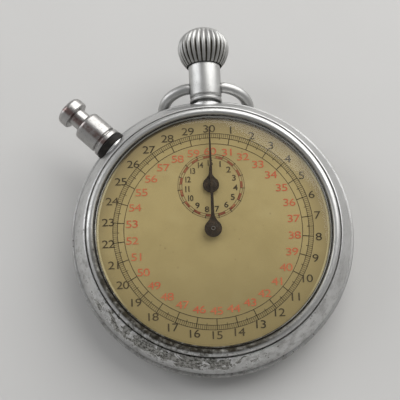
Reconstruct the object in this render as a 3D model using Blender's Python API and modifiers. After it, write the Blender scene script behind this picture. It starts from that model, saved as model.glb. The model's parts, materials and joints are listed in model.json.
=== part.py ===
"""Mechanical stopwatch: case, pendant, bow, crown, side pusher, dial, hands and a full movement.

Every size below is in millimetres. The assembly empty scales the model to metres and leans it back on its bow.
In the watch's own frame the case back's flat is at height 0, the dial faces +Z and twelve o'clock is +Y.
"""

import math

import bmesh
import bpy
from mathutils import Matrix, Vector

# ---- clearances ----
JOINT_GAP = 0.3     # between case pieces that seat on each other
SEAT_GAP = 0.1      # between small movement pieces that seat on each other
RUN_GAP = 0.06      # radial, round a turning arbor

# ---- case ----
CASE_RADIUS = 26.4          # the case back's rim, the widest circle
BACK_FLAT_RADIUS = 14.0
BACK_DOME_RISE = 2.9
BACK_WALL = 0.8
BACK_RIM_TOP = 5.6
BACK_RIM_WIDTH = 1.0
SKIRT_HEIGHT = 1.9          # the part of the body that the back snaps round
BODY_TOP = 10.6
BODY_LIP_RADIUS = 23.1
CASE_BORE_RADIUS = 22.0
LUG_FLANGE_WIDTH = 0.7
BEZEL_RADIUS = 23.3
BEZEL_HEIGHT = 1.6
GLASS_RADIUS = 21.75
BEZEL_LEDGE_WIDTH = 0.75
BEZEL_LEDGE_RADIUS = GLASS_RADIUS - BEZEL_LEDGE_WIDTH
GLASS_EDGE = 0.9
GLASS_RISE = 1.7
GLASS_THICKNESS = 0.8
CASE_STEPS = 40

# ---- dial and hands ----
DIAL_TOP = 10.4
DIAL_THICKNESS = 0.5
DIAL_RADIUS = CASE_BORE_RADIUS - JOINT_GAP
SUBDIAL_OFFSET = 8.35       # minute arbor above the centre
HAND_TIP_CLEARANCE = 1.5
SECONDS_HAND_REACH = BEZEL_LEDGE_RADIUS - HAND_TIP_CLEARANCE
SECONDS_HUB_RADIUS = 1.6
MINUTE_HAND_REACH = 4.7
MINUTE_HUB_RADIUS = 1.5
HAND_THICKNESS = 0.25
MINUTE_HAND_LIFT = 0.4      # under side of the minute hand above the dial
SECONDS_HAND_LIFT = 0.9

# ---- pendant, bow and crown: distances run along +Y from the dial's centre ----
STEM_HEIGHT = 6.3
PENDANT_RADIUS = 3.07
PENDANT_NECK_RADIUS = 1.9
PENDANT_SINK = 0.6          # the foot stands this far inside the case's widest circle
PENDANT_LENGTH = 8.4
PENDANT_BORE = 1.6
PENDANT_FOOT = CASE_RADIUS - PENDANT_SINK
PENDANT_TOP = PENDANT_FOOT + PENDANT_LENGTH
PENDANT_SHOULDER = PENDANT_FOOT + 3.7
PENDANT_NECK_END = CASE_BORE_RADIUS + JOINT_GAP
COLLAR_RADIUS = PENDANT_RADIUS - 0.17
COLLAR_TOP = PENDANT_FOOT - 0.5
CROWN_RADIUS = 5.0
CROWN_SKIRT = 1.1           # the crown's skirt hangs this far over the pendant
CROWN_LOWER_HEIGHT = 3.8
CROWN_UPPER_HEIGHT = 4.0
CROWN_BOTTOM = PENDANT_TOP - CROWN_SKIRT
CROWN_WIDEST = CROWN_BOTTOM + CROWN_LOWER_HEIGHT
CROWN_TOP = CROWN_WIDEST + CROWN_UPPER_HEIGHT
CROWN_MOUTH_RADIUS = PENDANT_RADIUS + 0.53
CROWN_HOLLOW_DEPTH = 2.6
CROWN_PRESS = 1.2
STEM_RADIUS = 0.8
STEM_SQUARE = 1.0
STEM_TIP_RADIUS = 0.45
STEM_INNER_END = 14.3
BOW_WIRE_RADIUS = 1.1
BOW_END_RADIUS = 0.85
BOW_PIVOT = PENDANT_FOOT + 2.9
BOW_HALF_WIDTH = 8.4
BOW_SHOULDER = 6.0          # from the pivot line to the bow's widest point
BOW_CROWN_END = 7.8         # from the widest point to the far end
BOW_SQUARENESS = 2.5        # exponent of the shoulders' curve, 2 is an ellipse
BOW_STUB = 2.3
BOW_FOLD = math.radians(48.0)   # below the dial plane, where the arms meet the case back's rim

# ---- side pusher: distances run outward from the dial's centre ----
PUSHER_ANGLE = math.radians(135.8)
PUSHER_TRAVEL = 1.0
PUSHER_HEAD_RADIUS = 2.85
PUSHER_REACH = 10.8         # the head's top beyond the case's widest circle
PUSHER_HEAD_TOP = CASE_RADIUS + PUSHER_REACH
PUSHER_HEAD_DEPTH = 2.5
PUSHER_SHAFT_RADIUS = 1.8
PUSHER_ROD_RADIUS = 0.9
PUSHER_ROD_END = 20.0
SLEEVE_RADIUS = 2.9
SLEEVE_REACH = 6.1
SLEEVE_TOP = CASE_RADIUS + SLEEVE_REACH
SLEEVE_FLANGE = CASE_RADIUS
SLEEVE_SPIGOT_RADIUS = 2.0
SLEEVE_SPIGOT_END = CASE_BORE_RADIUS - JOINT_GAP
SLEEVE_FLOOR_TOP = CASE_RADIUS - 0.5
WASHER_RADIUS = 3.1
WASHER_INNER_END = CASE_RADIUS - 1.4

# ---- movement levels, as heights ----
PLATE_BOTTOM, PLATE_TOP = 8.5, 9.5
BRIDGE_BOTTOM, BRIDGE_TOP = 4.8, 5.7
PLATE_RADIUS = CASE_BORE_RADIUS - JOINT_GAP
BARREL_BOTTOM, BARREL_TOP = 6.1, 7.3
BARREL_TEETH_BOTTOM = 6.8
CENTRE_WHEEL_LEVEL = (6.1, 6.4)
INTERMEDIATE_WHEEL_LEVEL = (7.6, 7.9)
ESCAPE_LEVEL = (6.9, 7.2)
BALANCE_LEVEL = (6.25, 6.7)
ROLLER_LEVEL = (7.5, 7.75)
HAIRSPRING_LEVEL = (5.9, 6.05)
WINDING_LEVEL = (3.5, 4.0)
MINUTE_DRIVER_LEVEL = (3.15, 3.5)
MINUTE_INTERMEDIATE_LEVEL = (3.2, 3.45)
MINUTE_WHEEL_LEVEL = (2.8, 3.1)
HEART_LEVEL = (1.9, 2.5)
LEVER_LEVEL = (6.0, 6.4)
PUSHER_POST_TOP = STEM_HEIGHT + 0.4
ARBOR_BACK_END = 1.8

# ---- gear train: teeth and modules ----
BARREL_TEETH, INTERMEDIATE_PINION_TEETH, BARREL_MODULE = 48, 8, 0.31
INTERMEDIATE_TEETH, CENTRE_PINION_TEETH, INTERMEDIATE_MODULE = 49, 7, 0.23
CENTRE_TEETH, ESCAPE_PINION_TEETH, CENTRE_MODULE = 60, 6, 0.17
MINUTE_DRIVER_TEETH, MINUTE_INTERMEDIATE_TEETH, MINUTE_DRIVER_MODULE = 6, 30, 0.24
MINUTE_PINION_TEETH, MINUTE_WHEEL_TEETH, MINUTE_MODULE = 6, 36, 0.213
WINDING_TEETH, CROWN_WHEEL_TEETH, RATCHET_TEETH = 12, 26, 44
CROWN_FACE_RADIUS = 3.9
ESCAPE_TEETH = 15
ESCAPE_RADIUS = 2.6

# ---- places in the movement ----
MINUTE_PLACE = Vector((0.0, SUBDIAL_OFFSET))
CENTRE_PLACE = Vector((0.0, 0.0))
BARREL_DISTANCE, BARREL_BEARING = 13.4, math.radians(42.0)
CROWN_WHEEL_PLACE = Vector((0.0, 14.2))
ESCAPE_BEARING = math.radians(235.0)
PALLET_BEARING = math.radians(215.0)
ESCAPE_TO_PALLET = 3.6
PALLET_TO_BALANCE = 5.0
BALANCE_RADIUS = 4.5
HEART_RADIUS = 2.1
HAMMER_PLACE = Vector((-12.0, 1.0))
OPERATING_PLACE = Vector((-8.6, 13.9))
COLUMN_PLACE = Vector((-14.5, 7.0))
BRAKE_PLACE = Vector((-17.6, 0.6))
BARREL_SCREWS = (Vector((-4.6, 10.4)), Vector((19.0, 4.6)))
TRAIN_SCREWS = (Vector((12.5, -5.5)), Vector((-7.6, 2.0)))
BALANCE_SCREW = Vector((-15.3, -12.9))
PALLET_SCREW = Vector((-2.4, -13.2))
CLICK_PLACE = Vector((17.3, 1.6))
FOOT_RADIUS = 1.15
CASE_SCREWS = (Vector((-19.2, -6.9)), Vector((19.2, -6.9)))

COLOURS = {
    "chrome": ((0.60, 0.60, 0.59), 0.32, 1.0),
    "steel": ((0.55, 0.55, 0.56), 0.30, 1.0),
    "brass": ((0.72, 0.55, 0.24), 0.34, 1.0),
    "blued": ((0.08, 0.08, 0.10), 0.35, 1.0),
    "dial": ((0.55, 0.47, 0.29), 0.55, 0.0),
    "glass": ((0.95, 0.97, 0.96), 0.03, 0.0),
    "ruby": ((0.55, 0.03, 0.08), 0.10, 0.0),
    "black": ((0.02, 0.02, 0.02), 0.60, 0.0),
}


def clear_scene():
    for item in list(bpy.data.objects):
        bpy.data.objects.remove(item, do_unlink=True)


def polar(radius, angle):
    return Vector((radius * math.cos(angle), radius * math.sin(angle)))


def meeting_point(a, reach_a, b, reach_b, side):
    """The point at the given distances from a and b, on the left (1) or right (-1) of the line from a to b."""
    line = b - a
    span = line.length
    along = (reach_a**2 - reach_b**2 + span**2) / (2 * span)
    off = math.sqrt(reach_a**2 - along**2)
    ahead = line / span
    return a + ahead * along + Vector((-ahead.y, ahead.x)) * off * side


def bearing(a, b):
    return math.atan2(b.y - a.y, b.x - a.x)


# ---- places that follow from the gears ----
BARREL_PLACE = polar(BARREL_DISTANCE, BARREL_BEARING)
BARREL_TO_INTERMEDIATE = BARREL_MODULE * (BARREL_TEETH + INTERMEDIATE_PINION_TEETH) / 2
INTERMEDIATE_TO_CENTRE = INTERMEDIATE_MODULE * (INTERMEDIATE_TEETH + CENTRE_PINION_TEETH) / 2
INTERMEDIATE_PLACE = meeting_point(
    CENTRE_PLACE, INTERMEDIATE_TO_CENTRE, BARREL_PLACE, BARREL_TO_INTERMEDIATE, -1
)
CENTRE_TO_ESCAPE = CENTRE_MODULE * (CENTRE_TEETH + ESCAPE_PINION_TEETH) / 2
ESCAPE_PLACE = polar(CENTRE_TO_ESCAPE, ESCAPE_BEARING)
PALLET_PLACE = ESCAPE_PLACE + polar(ESCAPE_TO_PALLET, PALLET_BEARING)
BALANCE_PLACE = PALLET_PLACE + polar(PALLET_TO_BALANCE, PALLET_BEARING)
MINUTE_INTERMEDIATE_PLACE = meeting_point(
    CENTRE_PLACE,
    MINUTE_DRIVER_MODULE * (MINUTE_DRIVER_TEETH + MINUTE_INTERMEDIATE_TEETH) / 2,
    MINUTE_PLACE,
    MINUTE_MODULE * (MINUTE_PINION_TEETH + MINUTE_WHEEL_TEETH) / 2,
    1,
)
RATCHET_MODULE = 2 * (BARREL_PLACE - CROWN_WHEEL_PLACE).length / (CROWN_WHEEL_TEETH + RATCHET_TEETH)
WINDING_RADIUS = CROWN_FACE_RADIUS * WINDING_TEETH / CROWN_WHEEL_TEETH
WINDING_PLACE = CROWN_WHEEL_PLACE + Vector((0.0, CROWN_FACE_RADIUS))

# ---- heights that follow from the case ----
SKIRT_BOTTOM = BACK_RIM_TOP + JOINT_GAP - SKIRT_HEIGHT
SKIRT_RADIUS = CASE_RADIUS - BACK_RIM_WIDTH - 0.2
BEZEL_BOTTOM = BODY_TOP + JOINT_GAP
GLASS_BOTTOM = BEZEL_BOTTOM + SEAT_GAP


def back_outer_height(radius):
    """Height of the case back's outer skin: flat in the middle, then a parabolic dome."""
    span = CASE_RADIUS - BACK_RIM_WIDTH - 0.4 - BACK_FLAT_RADIUS
    share = max(0.0, radius - BACK_FLAT_RADIUS) / span
    return BACK_DOME_RISE * share**2


def resting_lean():
    """The angle at which the case back and the folded bow both touch a table."""
    reach = BOW_SHOULDER + BOW_CROWN_END
    end_y = BOW_PIVOT - reach * math.cos(BOW_FOLD)
    end_z = STEM_HEIGHT - reach * math.sin(BOW_FOLD)
    least = math.pi
    for tenth in range(int(10 * (CASE_RADIUS - BACK_RIM_WIDTH - BACK_FLAT_RADIUS))):
        radius = BACK_FLAT_RADIUS + tenth / 10
        away = end_y + radius
        drop = back_outer_height(radius) - end_z
        angle = math.atan2(drop, away) + math.asin(BOW_WIRE_RADIUS / math.hypot(away, drop))
        least = min(least, angle)
    return least


clear_scene()
PARTS = bpy.data.collections.new("mechanical_stopwatch")
CUTTERS = bpy.data.collections.new("cutters")
bpy.context.scene.collection.children.link(PARTS)
bpy.context.scene.collection.children.link(CUTTERS)
CUTTERS.hide_render = True
MATERIALS = {}


def make_materials():
    for name, (colour, roughness, metallic) in COLOURS.items():
        material = bpy.data.materials.new(name)
        material.use_nodes = True
        shader = material.node_tree.nodes["Principled BSDF"]
        shader.inputs["Base Color"].default_value = (*colour, 1.0)
        shader.inputs["Roughness"].default_value = roughness
        shader.inputs["Metallic"].default_value = metallic
        if name == "glass":
            shader.inputs["Transmission Weight"].default_value = 1.0
        MATERIALS[name] = material


def add_empty(name, place=(0, 0, 0), parent=None, turn=(0, 0, 0)):
    empty = bpy.data.objects.new(name, None)
    empty.empty_display_size = 2.0
    empty.location = place
    empty.rotation_euler = turn
    empty.parent = parent
    PARTS.objects.link(empty)
    return empty


ASSEMBLY = add_empty("assembly", turn=(resting_lean(), 0, 0))
ASSEMBLY.scale = (0.001, 0.001, 0.001)


def axis_at(name, place, height=0.0, parent=None, turn=(0, 0, 0)):
    """An empty on a joint's axis. Pieces that move with the joint are its children."""
    return add_empty(name, (place[0], place[1], height), parent or ASSEMBLY, turn)


def add_object(name, data, material, parent=None, place=(0, 0, 0), turn=(0, 0, 0)):
    item = bpy.data.objects.new(name, data)
    item.parent = parent or ASSEMBLY
    item.location = place
    item.rotation_euler = turn
    data.materials.append(MATERIALS[material])
    PARTS.objects.link(item)
    return item


def as_cutter(item):
    """Takes a helper solid out of the model and keeps it as a tool for Booleans."""
    PARTS.objects.unlink(item)
    CUTTERS.objects.link(item)
    item.hide_render = True
    item.display_type = "WIRE"
    return item


def smooth(mesh, sharp_over=35.0):
    mesh.shade_smooth()
    mesh.set_sharp_from_angle(angle=math.radians(sharp_over))


def turned(name, profile, material, steps=24, **where):
    """A turned piece about its own Z. The profile runs down the outer side; a ring's profile is closed."""
    mesh = bpy.data.meshes.new(name)
    closed = profile[0] == profile[-1]
    points = profile[:-1] if closed else profile
    shape = bmesh.new()
    corners = [shape.verts.new((radius, 0.0, height)) for radius, height in points]
    pairs = list(zip(corners, corners[1:]))
    if closed:
        pairs.append((corners[-1], corners[0]))
    for pair in pairs:
        shape.edges.new(pair)
    shape.to_mesh(mesh)
    shape.free()
    item = add_object(name, mesh, material, **where)
    spin = item.modifiers.new("turn", "SCREW")
    spin.axis = "Z"
    spin.steps = steps
    spin.render_steps = steps
    spin.use_merge_vertices = True
    spin.merge_threshold = 0.0001
    spin.use_smooth_shade = True
    return item


def rod(name, radius, bottom, top, material="steel", sides=16, top_radius=None, **where):
    """A solid cylinder or cone along its own Z from bottom to top."""
    mesh = bpy.data.meshes.new(name)
    shape = bmesh.new()
    bmesh.ops.create_cone(
        shape,
        cap_ends=True,
        segments=sides,
        radius1=radius,
        radius2=radius if top_radius is None else top_radius,
        depth=top - bottom,
        matrix=Matrix.Translation((0, 0, (top + bottom) / 2)),
    )
    shape.to_mesh(mesh)
    shape.free()
    smooth(mesh)
    return add_object(name, mesh, material, **where)


def block(name, size, centre, material="steel", **where):
    mesh = bpy.data.meshes.new(name)
    shape = bmesh.new()
    stretch = Matrix.Diagonal((*size, 1.0))
    bmesh.ops.create_cube(shape, size=1.0, matrix=Matrix.Translation(centre) @ stretch)
    shape.to_mesh(mesh)
    shape.free()
    return add_object(name, mesh, material, **where)


def flat(name, outlines, level, material, **where):
    """A flat piece between two heights: its first outline is the edge and the others are holes."""
    curve = bpy.data.curves.new(name, "CURVE")
    curve.dimensions = "2D"
    curve.fill_mode = "BOTH"
    curve.extrude = (level[1] - level[0]) / 2
    middle = (level[1] + level[0]) / 2
    for outline in outlines:
        spline = curve.splines.new("POLY")
        spline.points.add(len(outline) - 1)
        for point, (x, y) in zip(spline.points, outline):
            point.co = (x, y, 0.0, 1.0)
        spline.use_cyclic_u = True
    item = add_object(name, curve, material, **where)
    item.location.z += middle
    return item


def as_mesh(item, material):
    """Replaces a curve object by the welded mesh that it evaluates to, so that it can be cut or joined."""
    bpy.context.view_layer.update()
    graph = bpy.context.evaluated_depsgraph_get()
    mesh = bpy.data.meshes.new_from_object(item.evaluated_get(graph))
    shape = bmesh.new()
    shape.from_mesh(mesh)
    bmesh.ops.remove_doubles(shape, verts=shape.verts, dist=0.0001)
    bmesh.ops.recalc_face_normals(shape, faces=shape.faces)
    shape.to_mesh(mesh)
    shape.free()
    mesh.materials.clear()
    name, parent = item.name, item.parent
    place, turn = item.location.copy(), item.rotation_euler.copy()
    bpy.data.objects.remove(item, do_unlink=True)
    return add_object(name, mesh, material, parent=parent, place=place, turn=turn)


def boolean(item, other, operation):
    step = item.modifiers.new(other.name, "BOOLEAN")
    step.operation = operation
    step.solver = "EXACT"
    step.object = as_cutter(other)


def cut(item, *others):
    for other in others:
        boolean(item, other, "DIFFERENCE")


def join(item, *others):
    for other in others:
        boolean(item, other, "UNION")


def wire(name, points, radius, material, bevel_resolution=2, radii=None, closed=False, **where):
    curve = bpy.data.curves.new(name, "CURVE")
    curve.dimensions = "3D"
    curve.bevel_depth = radius
    curve.bevel_resolution = bevel_resolution
    curve.use_fill_caps = True
    spline = curve.splines.new("POLY")
    spline.points.add(len(points) - 1)
    for index, (point, co) in enumerate(zip(spline.points, points)):
        point.co = (*co, 1.0)
        point.radius = radii[index] if radii else 1.0
    spline.use_cyclic_u = closed
    return add_object(name, curve, material, **where)


def circle(radius, sides=24, centre=(0.0, 0.0), start=0.0):
    return [
        (
            centre[0] + radius * math.cos(start + math.tau * k / sides),
            centre[1] + radius * math.sin(start + math.tau * k / sides),
        )
        for k in range(sides)
    ]


def square(side, centre=(0.0, 0.0)):
    half = side / 2
    return [(centre[0] + sx * half, centre[1] + sy * half) for sx, sy in ((1, 1), (-1, 1), (-1, -1), (1, -1))]


def arc(radius, start, end, steps, centre=(0.0, 0.0)):
    return [
        (
            centre[0] + radius * math.cos(start + (end - start) * k / steps),
            centre[1] + radius * math.sin(start + (end - start) * k / steps),
        )
        for k in range(steps + 1)
    ]


TRAPEZOID_TOOTH = ((0, -0.27), (1, -0.11), (1, 0.11), (0, 0.27))
POINTED_TOOTH = ((0, -0.5), (1, 0.0))


def gear_outline(teeth, module, phase=0.0, addendum=0.9, dedendum=1.2, tooth=TRAPEZOID_TOOTH):
    """A gear's edge with a tooth's middle at the phase angle. A tooth is points (root 0 or tip 1, share of pitch)."""
    pitch = math.tau / teeth
    reach = (module * (teeth / 2 - dedendum), module * (teeth / 2 + addendum))
    points = []
    for k in range(teeth):
        for end, share in tooth:
            points.append(tuple(polar(reach[end], phase + (k + share) * pitch)))
    return points


def meshing_phase(phase, teeth, other_teeth, angle):
    """The phase of a gear that meshes with one of the given phase, where angle points from that one to the other."""
    offset = (angle - phase) / (math.tau / teeth) % 1.0
    return angle + math.pi - (math.tau / other_teeth) * (0.5 - offset)


def crossings(inner, outer, count, arm_share=0.24, steps=3):
    """The openings between a wheel's arms."""
    holes = []
    pitch = math.tau / count
    for k in range(count):
        start = (k + arm_share / 2) * pitch
        end = (k + 1 - arm_share / 2) * pitch
        holes.append(arc(outer, start, end, steps + 2) + arc(inner, end, start, steps))
    return holes


def crossing_of(a, b, c, d):
    """Where the line through a and b meets the line through c and d."""
    first, second, across = b - a, d - c, c - a
    share = across.cross(second) / first.cross(second)
    return a + first * share


def lever_side(knots, side):
    """One edge of a lever: straight runs beside each pair of circles, mitred where the lever bends inward."""
    runs = []
    for (x0, y0, r0), (x1, y1, r1) in zip(knots, knots[1:]):
        along = Vector((x1 - x0, y1 - y0)).normalized()
        across = Vector((-along.y, along.x)) * side
        runs.append((Vector((x0, y0)) + across * r0, Vector((x1, y1)) + across * r1, along))
    points = [runs[0][0]]
    for (start, end, along), (next_start, next_end, next_along) in zip(runs, runs[1:]):
        if along.cross(next_along) * side > 0.01:
            points.append(crossing_of(start, end, next_start, next_end))
        else:
            points += [end, next_start]
    points.append(runs[-1][1])
    return [tuple(point) for point in points]


def round_lever(knots):
    """The outline round a chain of circles (x, y, radius) whose sides run straight from one to the next."""
    first, last = knots[0], knots[-1]
    head = bearing(Vector(knots[-2][:2]), Vector(last[:2]))
    tail = bearing(Vector(knots[1][:2]), Vector(first[:2]))
    cap_end = arc(last[2], head + math.pi / 2, head - math.pi / 2, 5, last[:2])[1:-1]
    cap_start = arc(first[2], tail + math.pi / 2, tail - math.pi / 2, 5, first[:2])[1:-1]
    return lever_side(knots, 1) + cap_end + lever_side(knots, -1)[::-1] + cap_start


def along_y(distance=0.0):
    """Placement of a piece whose own Z runs along the stem, away from the dial's centre."""
    return {"place": (0.0, distance, STEM_HEIGHT), "turn": (-math.pi / 2, 0, 0)}


def along_pusher():
    """Placement of a piece whose own Z runs outward along the side pusher."""
    return {"place": (0.0, 0.0, STEM_HEIGHT), "turn": (0, math.pi / 2, PUSHER_ANGLE)}


# ======== case ========


def build_case_back():
    dome = [CASE_RADIUS - BACK_RIM_WIDTH - 0.4]
    while dome[-1] > BACK_FLAT_RADIUS:
        dome.append(max(BACK_FLAT_RADIUS, dome[-1] - 3.67))
    inner_wall = CASE_RADIUS - BACK_RIM_WIDTH
    outer = [
        (inner_wall + 0.3, BACK_RIM_TOP),
        (CASE_RADIUS - 0.25, BACK_RIM_TOP - 0.08),
        (CASE_RADIUS, BACK_RIM_TOP - 0.6),
        (CASE_RADIUS - 0.15, BACK_RIM_TOP - 1.4),
        (CASE_RADIUS - 0.8, BACK_RIM_TOP - 2.2),
    ]
    outer += [(radius, back_outer_height(radius)) for radius in dome]
    inner = [(0.0, 0.0), (0.0, BACK_WALL)]
    inner += [(radius, back_outer_height(radius) + BACK_WALL) for radius in reversed(dome)]
    inner += [(inner_wall, BACK_DOME_RISE + BACK_WALL + 0.05), (inner_wall, BACK_RIM_TOP - 0.1)]
    back = turned("case_back", outer + inner + outer[:1], "chrome", CASE_STEPS)
    notch = (CASE_BORE_RADIUS - 1.0, CASE_RADIUS + 3.6)
    neck = rod("back_notch_pendant", COLLAR_RADIUS + 0.2, *notch, sides=24, **along_y())
    socket = rod("back_notch_pusher", WASHER_RADIUS + 0.2, *notch, sides=24, **along_pusher())
    cut(back, neck, socket)
    return back


def build_case_middle():
    lug_top = PLATE_BOTTOM - 0.4
    lug_bottom = lug_top - 0.7
    profile = [
        (BODY_LIP_RADIUS, BODY_TOP),
        (BEZEL_RADIUS + 0.3, BODY_TOP),
        (BEZEL_RADIUS + 1.0, BODY_TOP - 1.0),
        (BEZEL_RADIUS + 1.8, BODY_TOP - 2.4),
        (CASE_RADIUS - 0.7, BODY_TOP - 3.8),
        (CASE_RADIUS - 0.5, BACK_RIM_TOP + JOINT_GAP),
        (SKIRT_RADIUS, BACK_RIM_TOP + JOINT_GAP),
        (SKIRT_RADIUS, SKIRT_BOTTOM),
        (CASE_BORE_RADIUS, SKIRT_BOTTOM),
        (CASE_BORE_RADIUS, lug_bottom),
        (CASE_BORE_RADIUS - LUG_FLANGE_WIDTH, lug_bottom),
        (CASE_BORE_RADIUS - LUG_FLANGE_WIDTH, lug_top),
        (CASE_BORE_RADIUS, lug_top),
        (CASE_BORE_RADIUS, BODY_TOP - 0.7),
        (BODY_LIP_RADIUS, BODY_TOP - 0.7),
        (BODY_LIP_RADIUS, BODY_TOP),
    ]
    body = turned("case_middle", profile, "chrome", CASE_STEPS)
    collar = rod("body_collar", COLLAR_RADIUS, CASE_BORE_RADIUS + 1.2, COLLAR_TOP, sides=32, **along_y())
    boss = rod(
        "body_pusher_boss", WASHER_RADIUS, CASE_BORE_RADIUS + 1.2, WASHER_INNER_END - SEAT_GAP, sides=32,
        **along_pusher(),
    )
    join(body, collar, boss)
    inside, outside = CASE_BORE_RADIUS - 2.0, CASE_RADIUS + 3.6
    neck = rod("body_neck_bore", PENDANT_NECK_RADIUS + SEAT_GAP, inside, outside, sides=32, **along_y())
    spigot = rod(
        "body_spigot_bore", SLEEVE_SPIGOT_RADIUS + SEAT_GAP, inside, outside, sides=32, **along_pusher()
    )
    seat = rod(
        "body_washer_seat", WASHER_RADIUS + SEAT_GAP, WASHER_INNER_END - SEAT_GAP, outside, sides=32,
        **along_pusher(),
    )
    cut(body, neck, spigot, seat)
    return body


def build_bezel():
    top = BEZEL_BOTTOM + BEZEL_HEIGHT
    seat = GLASS_RADIUS + SEAT_GAP
    skirt_bottom = BODY_TOP - 0.5
    profile = [
        (seat, top - 0.35),
        (BEZEL_RADIUS - 1.0, top),
        (BEZEL_RADIUS - 0.55, top - 0.1),
        (BEZEL_RADIUS - 0.2, top - 0.45),
        (BEZEL_RADIUS, BEZEL_BOTTOM + 0.5),
        (BEZEL_RADIUS, BEZEL_BOTTOM),
        (BODY_LIP_RADIUS - 0.15, BEZEL_BOTTOM),
        (BODY_LIP_RADIUS - 0.15, skirt_bottom),
        (CASE_BORE_RADIUS + 0.2, skirt_bottom),
        (CASE_BORE_RADIUS + 0.2, BEZEL_BOTTOM - 0.25),
        (BEZEL_LEDGE_RADIUS, BEZEL_BOTTOM - 0.25),
        (BEZEL_LEDGE_RADIUS, BEZEL_BOTTOM - 0.05),
        (seat, GLASS_BOTTOM - SEAT_GAP),
        (seat, top - 0.35),
    ]
    return turned("bezel", profile, "chrome", CASE_STEPS)


def build_crystal():
    shoulder = GLASS_RADIUS - 0.8
    top = GLASS_BOTTOM + GLASS_EDGE + GLASS_RISE
    dome_rise = GLASS_RISE - 0.35
    inner_rim = shoulder - 0.3

    def outer_height(radius):
        return top - dome_rise * (radius / shoulder) ** 2

    rings = [shoulder * k / 4 for k in range(5)]
    outer = [(radius, outer_height(radius)) for radius in rings]
    inner = [(radius * inner_rim / shoulder, outer_height(radius) - GLASS_THICKNESS) for radius in rings]
    edge = [(GLASS_RADIUS, GLASS_BOTTOM + GLASS_EDGE), (GLASS_RADIUS, GLASS_BOTTOM), (inner_rim, GLASS_BOTTOM)]
    return turned("crystal", outer + edge + inner[::-1], "glass", 32)


def build_dial():
    level = (DIAL_TOP - DIAL_THICKNESS, DIAL_TOP)
    holes = [circle(0.55, 16), circle(0.5, 16, MINUTE_PLACE)]
    return flat("dial", [circle(DIAL_RADIUS, CASE_STEPS), *holes], level, "dial")


# ======== pendant, bow, crown and stem ========


def build_pendant():
    ring_top = PENDANT_FOOT + 0.6
    groove_top = ring_top + 0.5
    profile = [
        (PENDANT_BORE, PENDANT_TOP),
        (PENDANT_RADIUS - 0.2, PENDANT_TOP),
        (PENDANT_RADIUS, PENDANT_TOP - 0.2),
        (PENDANT_RADIUS, groove_top),
        (PENDANT_RADIUS - 0.3, groove_top - 0.1),
        (PENDANT_RADIUS - 0.3, ring_top + 0.1),
        (PENDANT_RADIUS, ring_top),
        (PENDANT_RADIUS, PENDANT_FOOT),
        (PENDANT_NECK_RADIUS, PENDANT_FOOT),
        (PENDANT_NECK_RADIUS, PENDANT_NECK_END),
        (STEM_RADIUS + SEAT_GAP, PENDANT_NECK_END),
        (STEM_RADIUS + SEAT_GAP, PENDANT_SHOULDER),
        (PENDANT_BORE, PENDANT_SHOULDER),
        (PENDANT_BORE, PENDANT_TOP),
    ]
    pendant = turned("pendant", profile, "chrome", 24, **along_y())
    for side in (1, -1):
        hole = rod(
            "pendant_bow_hole_right" if side > 0 else "pendant_bow_hole_left",
            BOW_END_RADIUS + SEAT_GAP,
            BOW_STUB - 0.2,
            PENDANT_RADIUS + 1.0,
            sides=20,
            place=(0.0, BOW_PIVOT, STEM_HEIGHT),
            turn=(0, side * math.pi / 2, 0),
        )
        cut(pendant, hole)
    return pendant


def bow_path():
    """Points (x, distance from the pivot line) along the bow, with the wire's relative thickness."""
    power = 2.0 / BOW_SQUARENESS
    neck_x = PENDANT_RADIUS + 0.55
    rise = BOW_SHOULDER / (1 - (neck_x / BOW_HALF_WIDTH) ** BOW_SQUARENESS) ** (1 / BOW_SQUARENESS)
    first = math.asin((neck_x / BOW_HALF_WIDTH) ** (1 / power))
    half = [(BOW_STUB, 0.0), (PENDANT_RADIUS, 0.0)]
    steps = 6
    for k in range(steps + 1):
        t = first + (math.pi / 2 - first) * k / steps
        half.append((BOW_HALF_WIDTH * math.sin(t) ** power, BOW_SHOULDER - rise * math.cos(t) ** power))
    for k in range(1, steps + 1):
        s = math.pi / 2 * k / steps
        half.append((BOW_HALF_WIDTH * math.cos(s), BOW_SHOULDER + BOW_CROWN_END * math.sin(s)))
    end = BOW_END_RADIUS / BOW_WIRE_RADIUS
    thickness = [end, end, end, 0.92] + [1.0] * (len(half) - 4)
    mirrored = [(-x, reach) for x, reach in half[-2::-1]]
    return half + mirrored, thickness + thickness[-2::-1]


def build_bow():
    points, thickness = bow_path()
    down = Vector((0.0, -math.cos(BOW_FOLD), -math.sin(BOW_FOLD)))
    route = [(x, down.y * reach, down.z * reach) for x, reach in points]
    pivot = axis_at("bow_axis", (0.0, BOW_PIVOT), STEM_HEIGHT)
    return wire("bow", route, BOW_WIRE_RADIUS, "chrome", 4, thickness, parent=pivot)


def build_crown(axis):
    hollow = CROWN_BOTTOM + CROWN_HOLLOW_DEPTH
    rise = CROWN_TOP - CROWN_WIDEST
    outer = []
    for k in range(7):
        t = math.pi / 2 * k / 6
        outer.append((CROWN_RADIUS * math.sin(t), CROWN_WIDEST + rise * math.cos(t)))
    drop = CROWN_WIDEST - CROWN_BOTTOM
    last = math.acos((CROWN_MOUTH_RADIUS - 0.2) / CROWN_RADIUS)
    for k in range(1, 6):
        t = last * k / 5
        outer.append((CROWN_RADIUS * math.cos(t), CROWN_WIDEST - drop * math.sin(t) / math.sin(last)))
    mouth = PENDANT_RADIUS + JOINT_GAP - 0.05
    bore = STEM_RADIUS + SEAT_GAP
    inner = [
        (mouth, CROWN_BOTTOM),
        (mouth, hollow),
        (bore, hollow),
        (bore, CROWN_WIDEST + 1.2),
        (0.0, CROWN_WIDEST + 1.2),
    ]
    return turned("crown", outer + inner, "chrome", 30, parent=axis, turn=(-math.pi / 2, 0, 0))


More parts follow.
